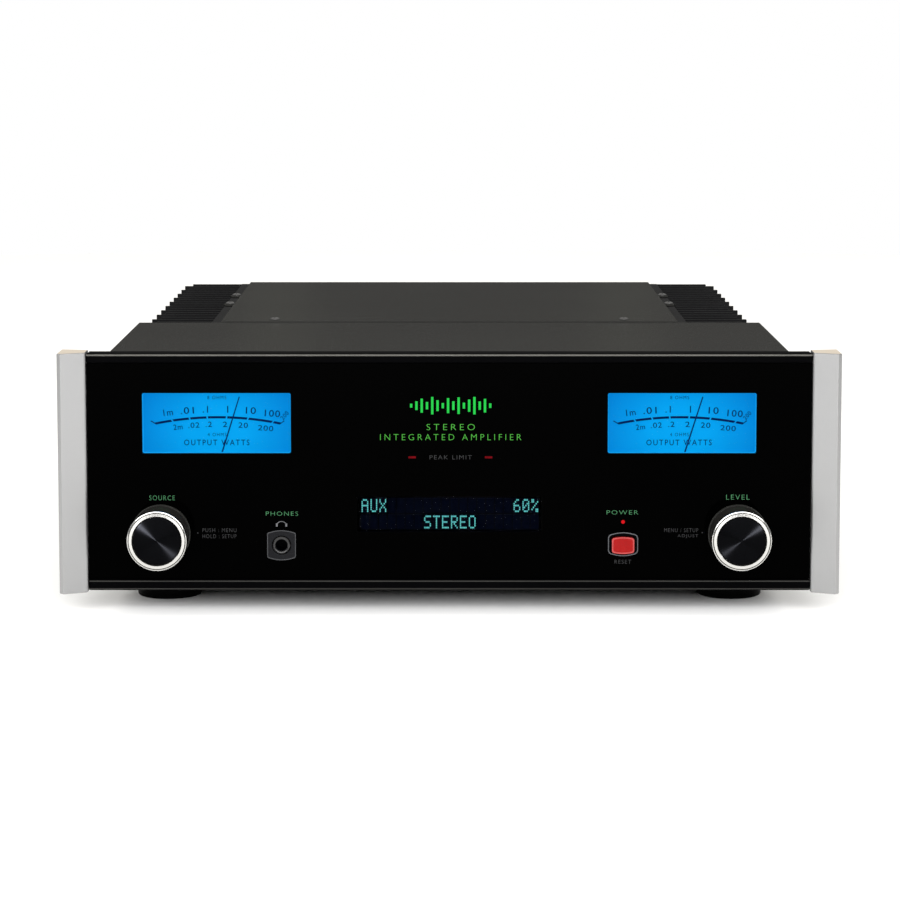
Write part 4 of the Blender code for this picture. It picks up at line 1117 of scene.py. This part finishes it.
WORLD_LOW = (0.38, 0.385, 0.39, 1.0)
WORLD_HIGH = (1.10, 1.08, 1.03, 1.0)
WORLD_BACK = (0.045, 0.044, 0.042, 1.0)
WORLD_STRIPE = (0.078, 0.078, 0.068, 1.0)
WHITE = (1.0, 1.0, 1.0, 1.0)


def make_world():
    """A white room: bright overhead, and low behind the object a dark flag with two paler stripes."""
    world = bpy.data.worlds.new("studio")
    bpy.context.scene.world = world
    world.use_nodes = True
    tree = world.node_tree
    direction = tree.nodes.new("ShaderNodeTexCoord").outputs["Generated"]
    x, y, z = add_node(tree, "SeparateXYZ", {"Vector": direction}).outputs
    room = blend_colours(tree, smooth_step(tree, z, 0.25, 0.65), WORLD_LOW, WORLD_HIGH)
    side = combine(tree, "ABSOLUTE", x)
    inner = smooth_step(tree, side, 0.045, 0.052)
    outer = smooth_step(tree, side, 0.075, 0.068)
    stripe = combine(tree, "MULTIPLY", inner, outer)
    flag = blend_colours(tree, stripe, WORLD_BACK, WORLD_STRIPE)
    low = smooth_step(tree, z, 0.36, 0.2)
    behind = combine(tree, "MULTIPLY", low, smooth_step(tree, y, 0.82, 0.93))
    lit = blend_colours(tree, behind, room, flag)
    rays = tree.nodes.new("ShaderNodeLightPath").outputs["Is Camera Ray"]
    feed(tree, tree.nodes["Background"], {"Color": blend_colours(tree, rays, lit, WHITE)})


CAMERA_DISTANCE = 1.650
CAMERA_HEIGHT = 0.340
CAMERA_PITCH = math.radians(6.11)


def make_camera():
    """The photographer's place: in front, slightly above, with a long lens."""
    lens = bpy.data.cameras.new("camera")
    lens.sensor_width = 36.0
    lens.lens = 116.95
    lens.shift_y = -0.13
    holder = new_object("camera", lens)
    holder.location = (0.0004, GLASS_Y * MM - CAMERA_DISTANCE, CAMERA_HEIGHT)
    holder.rotation_euler = (math.pi / 2 - CAMERA_PITCH, 0.0, 0.0)
    bpy.context.scene.camera = holder


make_glass()
make_rail("rail_top", "top_rail", ((4.45, 0.95, bead_painted_highlight),))
make_rail("rail_bottom", "bottom_rail", ((5.35, 0.7, bead_painted_highlight_dim), (0.95, 0.6, bead_painted_highlight_dim)))
for side_name in ("left", "right"):
    make_end_cap(side_name)
    make_meter(side_name)
make_display()
make_prints()
make_knob("source", source)
make_knob("level", level)
make_phones()
make_power()
make_covers()
make_screws()
make_heatsinks()
make_feet()
make_rear_panel()
make_speaker_terminals()
make_audio_sockets()
make_inlet()
make_digital_sockets()
make_underside()
dress_cad_nodes()
make_stage()
make_world()
make_light("softbox_front", (0.0, -2.8, 1.3), (0.0, -0.2, 0.9), (4.4, 1.5), 112.0)
make_light("floor_front", (0.0, -2.45, 0.86), (0.0, -0.2, 0.0), (2.0, 0.7), 58.0, "floor")
for side_name, knob, step, face in (("left", source, (-1.0, -1.57, 0.38), "source_knob_face"),
                                    ("right", level, (1.17, -1.45, 0.38), "level_knob_face")):
    make_light("streak_" + side_name, knob * MM + Vector(step), knob * MM, (0.2, 0.2), 190.0, face)
make_camera()
bpy.context.scene.view_settings.view_transform = "Standard"
